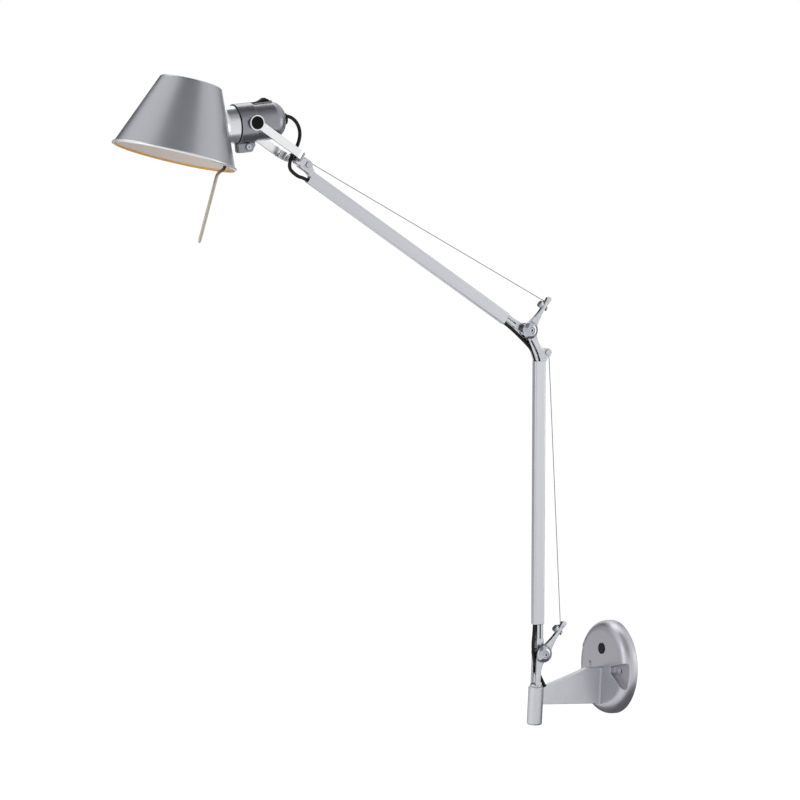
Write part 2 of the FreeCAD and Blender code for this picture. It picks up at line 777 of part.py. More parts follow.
def make_pulley_pin(tube_end):
    y, z = pulley_place(tube_end)
    side = tube_depth / 2
    pin = disc_x(pulley_pin_radius, -side - 0.8, side + 0.6, y, z)
    head = disc_x(pulley_pin_head, side + side_gap, side + 1.4, y, z)
    rivet = disc_x(pulley_pin_radius + 1.0, -side - 1.0, -side - side_gap, y, z)
    return pin.fuse([head, rivet])


def make_spring(tube_start, tube_end):
    low = tube_start + insert_length
    high = tube_end - insert_length - spring_end_gap
    coil = disc_z(spring_radius, low + 4, high, spring_across)
    coil = coil.cut(disc_z(spring_radius - spring_wire, low + 5, high - 1, spring_across))
    hooks = disc_z(spring_wire, low + side_gap, low + 4.5, spring_across)
    return coil.fuse([hooks, disc_z(spring_wire, high - 0.5, high + 4, spring_across)])


def make_wire(anchor, tube_end, name):
    # From the stud on the lever, over the pulley and down to the spring.
    centre = pulley_place(tube_end)
    run = pulley_groove + wire_radius + 0.03
    spring_top = (spring_across, tube_end - insert_length - spring_end_gap + 4)
    outer_y, outer_z, outer_turn = touch_point(anchor, centre, run, 1)
    inner_y, inner_z, inner_turn = touch_point(spring_top, centre, run, -1)
    if inner_turn < outer_turn:
        inner_turn += 2 * math.pi
    crest = (outer_turn + inner_turn) / 2
    top = point(centre[0] + run * math.cos(crest), centre[1] + run * math.sin(crest))
    path = Part.Wire([
        Part.LineSegment(point(*anchor), point(outer_y, outer_z)).toShape(),
        Part.Arc(point(outer_y, outer_z), top, point(inner_y, inner_z)).toShape(),
        Part.LineSegment(point(inner_y, inner_z), point(*spring_top)).toShape(),
    ])
    return swept(path, wire_radius, name)


def anchor_in(frame, holder, tube_end):
    # Where the wire starts beside the stud, seen from the arm that the wire belongs to.
    stud = frame.inverse().multVec(holder.multVec(point(*anchor_place())))
    along = (point(*pulley_place(tube_end)) - stud).normalize()
    aside = anchor_stud_radius + wire_radius
    return stud.y + aside * along.z, stud.z - aside * along.y


# ---------------------------------------------------------------- fork

def make_fork():
    outer = fork_inner + fork_bar
    seat = fork_seat
    inner_bend = fork_bend - fork_bar
    turn = math.sqrt(0.5)

    def corner(x, z):
        return Vector(x, head_line - fork_width / 2, z)

    def bend(side, half, low, radius):
        middle = corner(side * (half - radius + turn * radius), low + radius - turn * radius)
        ends = (corner(side * half, low + radius), corner(side * (half - radius), low))
        if side > 0:
            ends = ends[::-1]
        return Part.Arc(ends[0], middle, ends[1]).toShape(), ends

    left, left_ends = bend(-1, outer, seat, fork_bend)
    right, right_ends = bend(1, outer, seat, fork_bend)
    in_right, in_right_ends = bend(1, fork_inner, seat + fork_bar, inner_bend)
    in_left, in_left_ends = bend(-1, fork_inner, seat + fork_bar, inner_bend)
    top = head_along
    edges = [
        Part.LineSegment(corner(-outer, top), left_ends[0]).toShape(), left,
        Part.LineSegment(left_ends[1], right_ends[0]).toShape(), right,
        Part.LineSegment(right_ends[1], corner(outer, top)).toShape(),
        Part.LineSegment(corner(outer, top), corner(fork_inner, top)).toShape(),
        Part.LineSegment(corner(fork_inner, top), in_right_ends[1]).toShape(), in_right,
        Part.LineSegment(in_right_ends[0], in_left_ends[1]).toShape(), in_left,
        Part.LineSegment(in_left_ends[0], corner(-fork_inner, top)).toShape(),
        Part.LineSegment(corner(-fork_inner, top), corner(-outer, top)).toShape(),
    ]
    bar = Part.Face(Part.Wire(Part.__sortEdges__(edges))).extrude(Vector(0, fork_width, 0))
    eyes = both_sides(disc_x(fork_eye_radius, fork_inner, outer, head_line, head_along))
    recess = both_sides(disc_x(head_cap_radius + 0.15, outer - 1.0, outer + 1, head_line, head_along))
    holes = disc_x(head_screw_radius + fit_gap, -60, 60, head_line, head_along)
    swivel = disc_z(swivel_screw_radius + turning_gap, seat - 1, seat + 10, head_line)
    sink = Part.makeCone(swivel_screw_radius, swivel_screw_radius + 2.2, 2.3, point(head_line, seat + fork_bar - 2.2))
    return bar.fuse(eyes).cut([recess, holes, swivel, sink])


def make_swivel_screw():
    low = upper_tube_end + pulley_ahead + pulley_rim + 3
    flush = fork_seat + fork_bar - 0.1
    shank = disc_z(swivel_screw_radius - fit_gap, low, flush - 1, head_line)
    bearing = Part.makeCone(swivel_screw_radius - 0.1, swivel_screw_radius + 1.95, 2.0, point(head_line, flush - 2.0))
    slot = block((-0.5, 0.5), (head_line - 6, head_line + 6), (flush - 0.8, flush + 1))
    return shank.fuse(bearing).cut(slot)


def make_swivel_washer():
    seat = upper_tube_end + nose_length + side_gap
    ring = disc_z(nose_radius - 0.5, seat, seat + swivel_washer, head_line)
    return ring.cut(disc_z(swivel_screw_radius + fit_gap, seat - 1, seat + 2, head_line))


def make_head_screws():
    outer = fork_inner + fork_bar
    shank = disc_x(head_screw_radius, clamp_bore + 0.8, outer - 1.5)
    head = disc_x(head_screw_radius + 1.2, outer - 1.0 + side_gap, outer - 0.2)
    neck = disc_x(head_screw_radius, outer - 2, outer - 0.5)
    return both_sides(shank.fuse([neck, head]))


def make_head_caps():
    start = fork_inner + fork_bar - 1.0 + side_gap
    cap = disc_x(head_cap_radius, start, start + 1.0 + head_cap_height)
    face = [edge for edge in cap.Edges if edge.Closed and edge.CenterOfMass.x > start + head_cap_height]
    cap = cap.makeFillet(0.5, face)
    ribs = []
    for step in range(-7, 8):
        y = step * 1.05
        ribs.append(block((start + head_cap_height + 0.55, start + head_cap_height + 2), (y - 0.22, y + 0.22), (-12, 12)))
    room = disc_x(head_screw_radius + 1.4, start - 1, start + 1.0)
    return both_sides(cap.cut(ribs).cut(room))


def make_head_spacers():
    ring = disc_x(spacer_radius, clamp_boss + side_gap, fork_inner - side_gap)
    return both_sides(ring.cut(disc_x(head_screw_radius + fit_gap, 0, 60)))


# ---------------------------------------------------------------- lampholder, in its own frame along +Y

def make_clamp_ring():
    ring = turned_on_y(
        (clamp_front, clamp_bore), (clamp_front, clamp_radius - 0.8),
        ((clamp_front + 0.3, clamp_radius - 0.2), (clamp_front + 0.9, clamp_radius)),
        (clamp_back - 0.6, clamp_radius), (clamp_back, clamp_radius - 0.6), (clamp_back, clamp_bore),
    )
    bosses = both_sides(disc_x(spacer_radius, clamp_bore + 1.0, clamp_boss))
    ear_low = -clamp_radius - ear_drop
    ears = slab(outline(
        (clamp_front, -clamp_radius * 0.9), (clamp_front, ear_low + 5),
        ((clamp_front + 0.8, ear_low + 1.4), (clamp_front + 2.8, ear_low)),
        (clamp_back - 7.8, ear_low), ((clamp_back - 5.6, ear_low + 0.8), (clamp_back - 4.4, ear_low + 2.6)),
        (clamp_back, ear_low + 8.6), (clamp_back, -clamp_radius * 0.9),
    ), -ear_half, ear_half)
    bore = disc_y(clamp_bore, clamp_front - 1, clamp_back + 1)
    split = block((-ear_split / 2, ear_split / 2), (clamp_front - 1, clamp_back + 1), (ear_low - 1, -clamp_bore + 2))
    screw_y, screw_z = ear_screw_place
    ring = ring.fuse([bosses, ears]).cut([bore, split])
    ring = ring.cut(disc_x(head_screw_radius, -40, -clamp_bore - 0.5)).cut(disc_x(head_screw_radius, clamp_bore + 0.5, 40))
    return ring.cut(disc_x(ear_screw_radius + fit_gap, -20, 20, screw_y, screw_z))


def make_clamp_screw():
    y, z = ear_screw_place
    shank = disc_x(ear_screw_radius, -ear_half - 2.5, ear_half + 1, y, z)
    head = disc_x(ear_screw_radius * 2, ear_half + side_gap, ear_half + 2.6, y, z)
    nut = nut_x(ear_screw_radius * 2.2, -ear_half - 2.2, -ear_half - side_gap, y, z)
    socket = nut_x(1.3, ear_half + 1.2, ear_half + 4, y, z)
    return head.fuse([shank, nut]).cut(socket)


def make_housing():
    start = clamp_back + 0.3
    flat = housing_radius - housing_round
    turn = math.sqrt(0.5)
    back_mid = (housing_back - housing_round + turn * housing_round, flat + turn * housing_round)
    inner_round = housing_round - housing_wall
    inner_mid = (housing_back - housing_round + turn * inner_round, flat + turn * inner_round)
    spigot = clamp_bore - fit_gap
    shell = turned_on_y(
        (-9, spigot - housing_wall), (-9, spigot), (start, spigot), (start, housing_radius),
        (housing_back - housing_round, housing_radius), (back_mid, (housing_back, flat)), (housing_back, 0),
        (housing_back - housing_wall, 0), (housing_back - housing_wall, flat),
        (inner_mid, (housing_back - housing_round, housing_radius - housing_wall)),
        (start + 4, housing_radius - housing_wall), (start + 2, spigot - housing_wall),
    )
    long_half, wide_half = switch_length / 2 + 2.0, switch_width / 2 + 2.0
    centre = switch_middle
    pad = block((-wide_half, wide_half), (centre - long_half, centre + long_half), (switch_pad - 5, switch_pad))
    uprights = [edge for edge in pad.Edges if abs(edge.tangentAt(edge.FirstParameter).z) > 0.9]
    pad = pad.makeFillet(2.5, uprights)
    room = switch_room(0.1, switch_pad + 1)
    cable_way = disc_y(cable_radius + 0.4, housing_back - 8, housing_back + 1, 0, lead_exit_height)
    return shell.fuse(pad).cut([room, cable_way])


def switch_room(grow, top):
    long_half, wide_half = switch_length / 2 + grow, switch_width / 2 + grow
    low = switch_pad - switch_depth - grow
    return block((-wide_half, wide_half), (switch_middle - long_half, switch_middle + long_half), (low, top))


def make_switch_body():
    body = switch_room(0, switch_pad + 0.5)
    long_half, wide_half = switch_length / 2 + 1.1, switch_width / 2 + 1.1
    seat = switch_pad + side_gap
    lip = block((-wide_half, wide_half), (switch_middle - long_half, switch_middle + long_half), (seat, seat + 1.2))
    uprights = [edge for edge in lip.Edges if abs(edge.tangentAt(edge.FirstParameter).z) > 0.9]
    lip = lip.makeFillet(1.8, uprights)
    inner_long, inner_wide = switch_length / 2 - 1.2, switch_width / 2 - 1.2
    well = block(
        (-inner_wide, inner_wide), (switch_middle - inner_long, switch_middle + inner_long),
        (switch_pad - 9, switch_pad + 3),
    )
    axle = disc_x(1.2 + turning_gap, -switch_width / 2 + 0.4, switch_width / 2 - 0.4, switch_middle, switch_pad - 2)
    return body.fuse(lip).cut([well, axle])


def make_rocker():
    half = switch_width / 2 - 1.2 - 0.25
    reach = switch_length / 2 - 1.2 - 0.9
    centre = switch_middle
    low = switch_pad - 5
    rocker = slab(outline(
        (centre - reach + 0.8, low), (centre - reach, switch_pad + 1.0),
        ((centre - 3, switch_pad + 2.6), (centre + 3.4, rocker_peak - 0.4)),
        ((centre + 4.2, rocker_peak), (centre + 5.2, rocker_peak - 0.5)),
        (centre + reach, switch_pad + 2.4), (centre + reach - 0.8, low),
    ), -half, half)
    axle = disc_x(1.2, -switch_width / 2 + 0.5, switch_width / 2 - 0.5, centre, switch_pad - 2)
    return rocker.fuse(axle)


def make_gland():
    disc = disc_y(gland_radius, housing_back + side_gap, housing_back + gland_length)
    rim = [edge for edge in disc.Edges if edge.Closed and edge.CenterOfMass.y > housing_back + gland_length - 0.1]
    disc = disc.makeFillet(0.7, rim)
    tail = disc_y(cable_radius + 0.35, housing_back - housing_wall - 1.5, housing_back + 1, 0, lead_exit_height)
    way = disc_y(cable_radius + 0.02, housing_back - 10, housing_back + 10, 0, lead_exit_height)
    return disc.fuse(tail).cut(way)


def make_seam_gasket():
    return turned_on_y(
        (clamp_front - gasket_thickness, neck_radius - 2.2), (clamp_front - gasket_thickness, neck_radius + 1.4),
        (clamp_front - side_gap, neck_radius + 1.8), (clamp_front - side_gap, neck_radius + 0.02),
    ).cut(disc_y(neck_radius + 0.02, -60, 0))


def make_socket_insulator():
    bore = socket_bore
    return turned_on_y(
        (socket_front, bore), (socket_front, socket_radius - 1),
        (socket_front + 1, socket_radius), (socket_back - 3, socket_radius),
        (socket_back - 3, clamp_bore - housing_wall - 2 * fit_gap), (socket_back, clamp_bore - housing_wall - 2 * fit_gap),
        (socket_back, 0), (socket_back - 3.5, 0), (socket_back - 3.5, bore),
    )


def make_socket_shell():
    outer = socket_bore - 0.05
    rounds = []
    start = socket_front + 2
    shell = turned_on_y(
        (start, outer - shell_wall), (start, outer), (socket_back - 6, outer), (socket_back - 6, outer - shell_wall),
    )
    tongue = block((-3, 3), (socket_back - 5.2, socket_back - 3.55), (-4, 4))
    rounds.append(tongue)
    return Part.makeCompound([shell] + rounds)


def make_bulb_cap():
    # The lamp cap with its screw thread as rings, and the centre contact.
    crest, root = bulb_cap_radius, bulb_cap_radius - 0.9
    low = socket_back - 10
    profile = [(low, 9.5)]
    for turn in range(thread_turns):
        here = low - turn * thread_pitch
        profile += [(here, root), (here - thread_pitch / 2, crest)]
    end = low - thread_turns * thread_pitch
    profile += [(end, root), (end, 0), (socket_back - 5.3, 0), (socket_back - 5.3, 4)]
    return turned_on_y(*profile), end


def make_bulb_glass(start):
    # A pear: a cone from the cap that runs into a ball.
    return pear(start, bulb_cap_radius - 1.2, bulb_radius).cut(
        pear(start - 1.5, bulb_cap_radius - 1.2 - bulb_wall, bulb_radius - bulb_wall))


def pear(start, neck, radius):
    middle = bulb_end + bulb_radius
    along, out, turn = touch_point((start, neck), (middle, 0), radius, 1)
    side = (turn + math.pi) / 2
    round_side = (middle + radius * math.cos(side), radius * math.sin(side))
    return turned_on_y((start, 0), (start, neck), (along, out), (round_side, (middle - radius, 0)))


# ---------------------------------------------------------------- shade

def shade_radius(height):
    return rim_radius - bead_radius - wall_slope * height


def shade_solid(inwards):
    # The full cone, its skin set inwards by a distance, open ended below.
    top = shade_height - inwards
    corner = shade_top_round
    turn = math.sqrt(0.5)
    shrink = inwards * math.hypot(1, wall_slope)
    foot = -5 if inwards else 0
    edge = shade_radius(top) - shrink
    return turned_on_z(
        (0, foot), (shade_radius(foot) - shrink, foot), (edge + corner * wall_slope * 0.9, top - corner * 0.9),
        ((edge - corner * (1 - turn) + 0.6, top - corner * (1 - turn) + 0.4), (edge - corner, top)), (0, top),
    )


def make_shade():
    shell = shade_solid(0).cut(shade_solid(shade_wall))
    bead = Part.makeTorus(rim_radius - bead_radius, bead_radius, Vector(0, 0, 0.6), Vector(0, 0, 1))
    shell = shell.fuse(bead)
    hole = disc_y(neck_bore + 1.5, -60, -10)
    hole.Placement = shade_frame.inverse().multiply(holder_frame)
    return shell.cut(hole)


def in_shade(shape):
    shape.Placement = shade_frame.inverse().multiply(holder_frame)
    return shape


def make_shade_neck():
    front = clamp_front - gasket_thickness
    flare = front - neck_straight
    collar = turned_on_y(
        (clamp_front + neck_spigot, neck_bore), (clamp_front + neck_spigot, neck_radius - 0.1),
        (front - 0.1, neck_radius - 0.1), (front - 0.1, neck_radius + 0.9), (flare, neck_radius + 0.7),
        ((flare - 5.5, neck_radius + 1.7), (flare - 10, neck_flare)), (-60, neck_flare), (-60, neck_bore),
    )
    collar = in_shade(collar).cut(shade_solid(0))
    thread = turned_on_y((-30, neck_bore), (-30, neck_bore + 1.3), (-43, neck_bore + 1.3), (-43, neck_bore))
    return collar.fuse(in_shade(thread))


def make_inner_ring():
    start, bore = clamp_front - 4.5, neck_bore + 1.35
    ring = turned_on_y((start, bore), (start, inner_ring_radius), (-60, inner_ring_radius), (-60, bore))
    inside = shade_solid(shade_wall + side_gap)
    deep = shade_solid(shade_wall + side_gap + inner_ring_depth)
    return in_shade(ring).common(inside).cut(deep)


def handle_path():
    inset = shade_wall + handle_radius + handle_inset
    below_rim = rim_radius - bead_radius - inset - 12.3
    return lead_path([
        (shade_radius(handle_top) - inset, handle_top),
        (shade_radius(handle_bend) - inset - 0.6, handle_bend),
        (below_rim, -6.5),
        (below_rim - handle_lean, -handle_drop),
    ], "handle")


def make_handle():
    path = handle_path()
    rod = swept(path, handle_radius, "handle")
    last = path.Edges[-1]
    end = last.lastVertex().Point
    heading = (end - last.firstVertex().Point).normalize()
    tip = Part.makeCone(handle_radius, handle_radius * 0.55, 5, end, heading)
    return rod.fuse(tip)


def make_handle_clamp():
    inset = shade_wall + handle_radius + handle_inset
    y = shade_radius(handle_clamp_height + 3) - inset
    body = block((-5, 5), (-handle_radius - 2.3, inset), (-1, handle_clamp_length - 1))
    body.rotate(Vector(0, 0, 0), Vector(1, 0, 0), math.degrees(math.atan(wall_slope)))
    body.translate(Vector(0, y + 0.6, handle_clamp_height))
    body = body.common(shade_solid(shade_wall + side_gap))
    rod = swept(handle_path(), handle_radius + 0.02, "handle clamp bore")
    return body.cut(rod)


# ---------------------------------------------------------------- leads

def lead_corners():
    # Corners of the lead's stretches as Y and Z, and the stretch that each is in.
    def lower(along, across):
        spot = lower_frame.multVec(Vector(0, across, along))
        return spot.y, spot.z

    def upper(along, across):
        spot = upper_frame.multVec(Vector(0, across, along))
        return spot.y, spot.z

    exit_spot = holder_frame.multVec(Vector(0, housing_back - 3, lead_exit_height))
    past_exit = holder_frame.multVec(Vector(0, housing_back + 17, lead_exit_height))
    beside_nose = fork_seat + 8.1
    head = [
        (exit_spot.y, exit_spot.z), (past_exit.y, past_exit.z), upper(beside_nose, head_line + 33),
        upper(beside_nose - 1, head_line - 17), upper(upper_tube_end + 17.2, cable_across - 4.9),
        upper(upper_tube_end + 5.2, cable_across), upper(upper_tube_end - 12, cable_across),
    ]
    elbow = [
        upper(upper_tube_start + 12, cable_across), upper(upper_tube_start - 10.9, cable_across),
        lower(elbow_along - 11.5, elbow_across - 9.5), lower(elbow_along - 27.5, elbow_across + 7.5),
        lower(lower_tube_end + 7.5, cable_across), lower(lower_tube_end - 12, cable_across),
    ]
    entry = point(*base_entry)
    above_entry = entry - (point(*entry_corner) - entry).normalize() * 33
    base = [
        lower(lower_tube_start + 12, cable_across), lower(lower_tube_start - 9.3, cable_across),
        (lower_pivot.y - 14.8, lower_pivot.z + 8), (above_entry.y, above_entry.z), base_entry,
    ]
    return head, elbow, base


def make_tube_lead(start, length):
    return disc_z(cable_radius, start + 12, start + length - 12, cable_across)


# Places shared by several pieces
bush_radius = spigot_radius + turning_gap + bush_wall
retaining_radius = 2.5
retaining_head = 4.8
root_screw_heights = (web_top - 10, web_bottom + 7)
channel_height = -40.5
trim_shank_radius = 2.0
clamp_boss = clamp_radius + 0.4
ear_half = 7.0
ear_screw_radius = 2.0
ear_screw_place = (-5.5, -clamp_radius - 4.6)
lead_exit_height = 4.8
base_entry = (14.2 - stem_reach, sleeve_top + 2.1)
entry_corner = (21.4 - stem_reach, sleeve_top - 9.9)
bracket_path = lead_path([
    base_entry, entry_corner, (34.9 - stem_reach, channel_height), (plate_wall - plate_depth + 2, channel_height),
], "bracket lead")
stem_frame = Placement(lower_pivot, Rotation())
elbow_holder = Placement(elbow_pivot, lower_frame.Rotation)


def build():
    save("wall_plate", make_wall_plate())
    save("hole_plug", make_hole_plug())
    save("bracket_arm", make_bracket_arm())
    save("root_screws", make_root_screws())
    save("terminal_block", make_terminal_block())
    save("stem_bush", make_stem_bush())
    save("bracket_lead", swept(bracket_path, cable_radius, "bracket lead"))

    save("stem_casting", make_stem_casting(), stem_frame)
    save("retaining_screw", make_retaining_screw())
    save_joint_hardware("base", stem_frame)

    save("lower_tube", make_arm_tube(lower_tube_start, lower_tube_length), lower_frame)
    save("lower_root", make_arm_root(lower_tube_start), lower_frame)
    save("elbow_casting", make_elbow_casting(), lower_frame)
    save("lower_pulley", make_pulley(lower_tube_end), lower_frame)
    save("lower_pulley_pin", make_pulley_pin(lower_tube_end), lower_frame)
    save("lower_spring", make_spring(lower_tube_start, lower_tube_end), lower_frame)
    lower_anchor = anchor_in(lower_frame, stem_frame, lower_tube_end)
    save("lower_wire", make_wire(lower_anchor, lower_tube_end, "lower wire"), lower_frame)
    save("lower_tube_lead", make_tube_lead(lower_tube_start, lower_tube_length), lower_frame)
    save_joint_hardware("elbow", elbow_holder)

    save("upper_tube", make_arm_tube(upper_tube_start, upper_tube_length), upper_frame)
    save("upper_root", make_arm_root(upper_tube_start), upper_frame)
    save("arm_end", make_arm_end(), upper_frame)
    save("upper_pulley", make_pulley(upper_tube_end), upper_frame)
    save("upper_pulley_pin", make_pulley_pin(upper_tube_end), upper_frame)
    save("upper_spring", make_spring(upper_tube_start, upper_tube_end), upper_frame)
    upper_anchor = anchor_in(upper_frame, elbow_holder, upper_tube_end)
    save("upper_wire", make_wire(upper_anchor, upper_tube_end, "upper wire"), upper_frame)
    save("upper_tube_lead", make_tube_lead(upper_tube_start, upper_tube_length), upper_frame)

    save("fork", make_fork(), upper_frame)
    save("swivel_screw", make_swivel_screw(), upper_frame)
    save("swivel_washer", make_swivel_washer(), upper_frame)
    save("head_screws", make_head_screws(), holder_frame)
    save("head_caps", make_head_caps(), holder_frame)
    save("head_spacers", make_head_spacers(), holder_frame)

    save("clamp_ring", make_clamp_ring(), holder_frame)
    save("clamp_screw", make_clamp_screw(), holder_frame)
    save("holder_housing", make_housing(), holder_frame)
    save("switch_body", make_switch_body(), holder_frame)
    save("rocker", make_rocker(), holder_frame)
    save("lead_gland", make_gland(), holder_frame)
    save("seam_gasket", make_seam_gasket(), holder_frame)
    save("socket_insulator", make_socket_insulator(), holder_frame)
    save("socket_contacts", make_socket_shell(), holder_frame)
    cap, glass_start = make_bulb_cap()
    save("bulb_cap", cap, holder_frame)
    save("bulb_glass", make_bulb_glass(glass_start), holder_frame)

    save("shade", make_shade(), shade_frame)
    save("shade_neck", make_shade_neck(), shade_frame)
    save("shade_inner_ring", make_inner_ring(), shade_frame)
    save("handle", make_handle(), shade_frame)
    save("handle_clamp", make_handle_clamp(), shade_frame)

    head, elbow, base = lead_corners()
    save("head_lead", lead(head, "head lead"))
    save("elbow_lead", lead(elbow, "elbow lead"))
    save("base_lead", lead(base, "base lead"))


build()
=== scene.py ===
import json
import math

import bmesh
import bpy
from mathutils import Matrix, Vector


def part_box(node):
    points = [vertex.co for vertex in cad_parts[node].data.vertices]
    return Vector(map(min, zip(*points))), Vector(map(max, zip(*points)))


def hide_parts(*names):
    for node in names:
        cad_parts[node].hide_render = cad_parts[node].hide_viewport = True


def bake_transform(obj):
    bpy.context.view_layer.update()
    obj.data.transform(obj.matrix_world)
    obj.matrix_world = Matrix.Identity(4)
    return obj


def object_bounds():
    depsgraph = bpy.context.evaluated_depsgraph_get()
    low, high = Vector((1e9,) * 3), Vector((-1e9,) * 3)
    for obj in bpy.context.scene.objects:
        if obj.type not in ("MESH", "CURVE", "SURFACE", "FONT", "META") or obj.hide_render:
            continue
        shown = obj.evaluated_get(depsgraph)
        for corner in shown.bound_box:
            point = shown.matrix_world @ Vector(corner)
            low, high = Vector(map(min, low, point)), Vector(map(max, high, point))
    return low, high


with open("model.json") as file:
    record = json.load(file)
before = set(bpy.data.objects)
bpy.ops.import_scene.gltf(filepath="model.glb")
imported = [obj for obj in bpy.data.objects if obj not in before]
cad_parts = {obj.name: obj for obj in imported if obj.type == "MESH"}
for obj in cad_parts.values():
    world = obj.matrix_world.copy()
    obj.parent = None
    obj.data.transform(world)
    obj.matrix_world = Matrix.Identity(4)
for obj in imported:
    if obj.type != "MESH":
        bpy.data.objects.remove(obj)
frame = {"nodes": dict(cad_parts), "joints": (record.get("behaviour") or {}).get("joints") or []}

# Articulating wall lamp: leads, wires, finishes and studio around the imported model. Metres, +Z up.

cadLow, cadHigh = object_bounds()
pivot = {joint["name"]: Vector(joint["pos_m"]) for joint in frame["joints"]}
sideways = Vector((1, 0, 0))  # every hinge but the swivels turns about this axis


def mm(value):
    return value / 1000


def linear(hexColour):
    shades = []
    for start in (1, 3, 5):
        shade = int(hexColour[start:start + 2], 16) / 255
        shades.append(shade / 12.92 if shade <= 0.04045 else ((shade + 0.055) / 1.055) ** 2.4)
    return (*shades, 1.0)


def addNode(tree, kind, inputs=None, **settings):
    # inputs holds values, or sockets of other nodes to link from
    node = tree.nodes.new(kind)
    for setting, value in settings.items():
        setattr(node, setting, value)
    for name, value in (inputs or {}).items():
        if isinstance(value, bpy.types.NodeSocket):
            tree.links.new(value, node.inputs[name])
        else:
            node.inputs[name].default_value = value
    return node


def addObject(name, data):
    thing = bpy.data.objects.new(name, data)
    bpy.context.scene.collection.objects.link(thing)
    return thing


# camera, at the photograph's angle
cameraSetup = {
    "azimuth": 62.147,
    "elevation": 3.82,
    "roll": 2.622,
    "aim": Vector((0, -0.3949, 0.4121)),
    "distance": 4.0,
    "imageWidth": 800,       # pixels
    "focalPixels": 2706.2,   # focal length in pixels of that image
    "sensorWidth": 36.0,
}


def makeCamera(setup):
    turn, lift = math.radians(setup["azimuth"]), math.radians(setup["elevation"])
    back = Vector((math.sin(turn) * math.cos(lift), -math.cos(turn) * math.cos(lift), math.sin(lift)))
    level = (-back).cross(Vector((0, 0, 1))).normalized()
    upright = back.cross(level)
    roll = math.radians(setup["roll"])
    right = level * math.cos(roll) + upright * math.sin(roll)
    up = upright * math.cos(roll) - level * math.sin(roll)
    lens = bpy.data.cameras.new("camera")
    lens.sensor_width = setup["sensorWidth"]
    lens.lens = setup["focalPixels"] / setup["imageWidth"] * setup["sensorWidth"]
    camera = addObject("camera", lens)
    camera.matrix_world = Matrix.Translation(setup["aim"] + back * setup["distance"]) @ Matrix(
        (right, up, back)).transposed().to_4x4()
    bpy.context.scene.camera = camera
    return back


towardsCamera = makeCamera(cameraSetup)
print("camera done")


# flexible lead: three free stretches of one black sheathed lead
leadSetup = {
    "diameter": mm(5.2),
    "sides": 20,
    "smoothness": 12,
    "head": [(-609.51, 817.97), (-589.76, 821.13), (-572.19, 791.48), (-596.59, 747.83),
             (-579.19, 733.01), (-566.36, 731.17), (-551.52, 722.48)],
    "elbow": [(-235.77, 537.60), (-216.01, 526.03), (-193.41, 508.48), (-175.63, 493.36),
              (-165.58, 480.85), (-164.59, 461.38)],
    "base": [(-145.41, 82.66), (-144.33, 61.39), (-146.2, 33.5), (-139.18, 3.70), (-122.2, -24.6)],
    "headCut": 0.50,  # share of the stretch on the lampholder's side
    "baseCut": 0.62,  # share of the stretch on the lower arm's side
}


def smoothLine(route):
    # the points of a smooth line with the route's corners as control points, in the plane x = 0
    curve = bpy.data.curves.new("route", "CURVE")
    curve.dimensions = "3D"
    spline = curve.splines.new("NURBS")
    spline.points.add(len(route) - 1)
    for spot, (y, z) in zip(spline.points, route):
        spot.co = (0, mm(y), mm(z), 1)
    spline.order_u = 3
    spline.use_endpoint_u = True
    spline.resolution_u = leadSetup["smoothness"]
    holder = addObject("route", curve)
    line = bpy.data.meshes.new_from_object(holder)
    spots = [vertex.co.copy() for vertex in line.vertices]
    bpy.data.objects.remove(holder)
    bpy.data.meshes.remove(line)
    return spots


def lineLength(line):
    return sum((after - before).length for before, after in zip(line, line[1:]))


def roundTube(name, line, radius, sides):
    # a closed round tube along a line in the plane x = 0
    mesh = bpy.data.meshes.new(name)
    shape = bmesh.new()
    rings = []
    for index, spot in enumerate(line):
        before, after = line[max(index - 1, 0)], line[min(index + 1, len(line) - 1)]
        across = (after - before).normalized().cross(sideways)
        ring = []
        for side in range(sides):
            turn = 2 * math.pi * side / sides
            outwards = math.cos(turn) * sideways + math.sin(turn) * across
            ring.append(shape.verts.new(spot + radius * outwards))
        rings.append(ring)
    for ring, following in zip(rings, rings[1:]):
        for side in range(sides):
            beside = (side + 1) % sides
            face = shape.faces.new((ring[side], ring[beside], following[beside], following[side]))
            face.smooth = True
    shape.faces.new(rings[0])
    shape.faces.new(rings[-1])
    bmesh.ops.recalc_face_normals(shape, faces=shape.faces)
    shape.to_mesh(mesh)
    shape.free()
    return addObject(name, mesh)


def makeLead(name, line, nodes):
    # one stretch between two bodies that one joint joins
    piece = roundTube(name, line, leadSetup["diameter"] / 2, leadSetup["sides"])
    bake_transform(piece)
    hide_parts(*nodes)
    return piece


def splitLine(line, share):
    target, walked = share * lineLength(line), 0.0
    for index in range(1, len(line)):
        walked += (line[index] - line[index - 1]).length
        if walked >= target:
            return line[:index + 1], line[index:]
    return line, line[-1:]


def makeLeads():
    headNear, headFar = splitLine(smoothLine(leadSetup["head"]), leadSetup["headCut"])
    baseNear, baseFar = splitLine(smoothLine(leadSetup["base"]), leadSetup["baseCut"])
    return [
        makeLead("headLeadUpper", headNear, ["head_lead"]),
        makeLead("headLeadLower", headFar, ["head_lead"]),
        makeLead("elbowLead", smoothLine(leadSetup["elbow"]), ["elbow_lead"]),
        makeLead("baseLeadUpper", baseNear, ["base_lead"]),
        makeLead("baseLeadLower", baseFar, ["base_lead"]),
    ]


leads = makeLeads()
print("leads done")


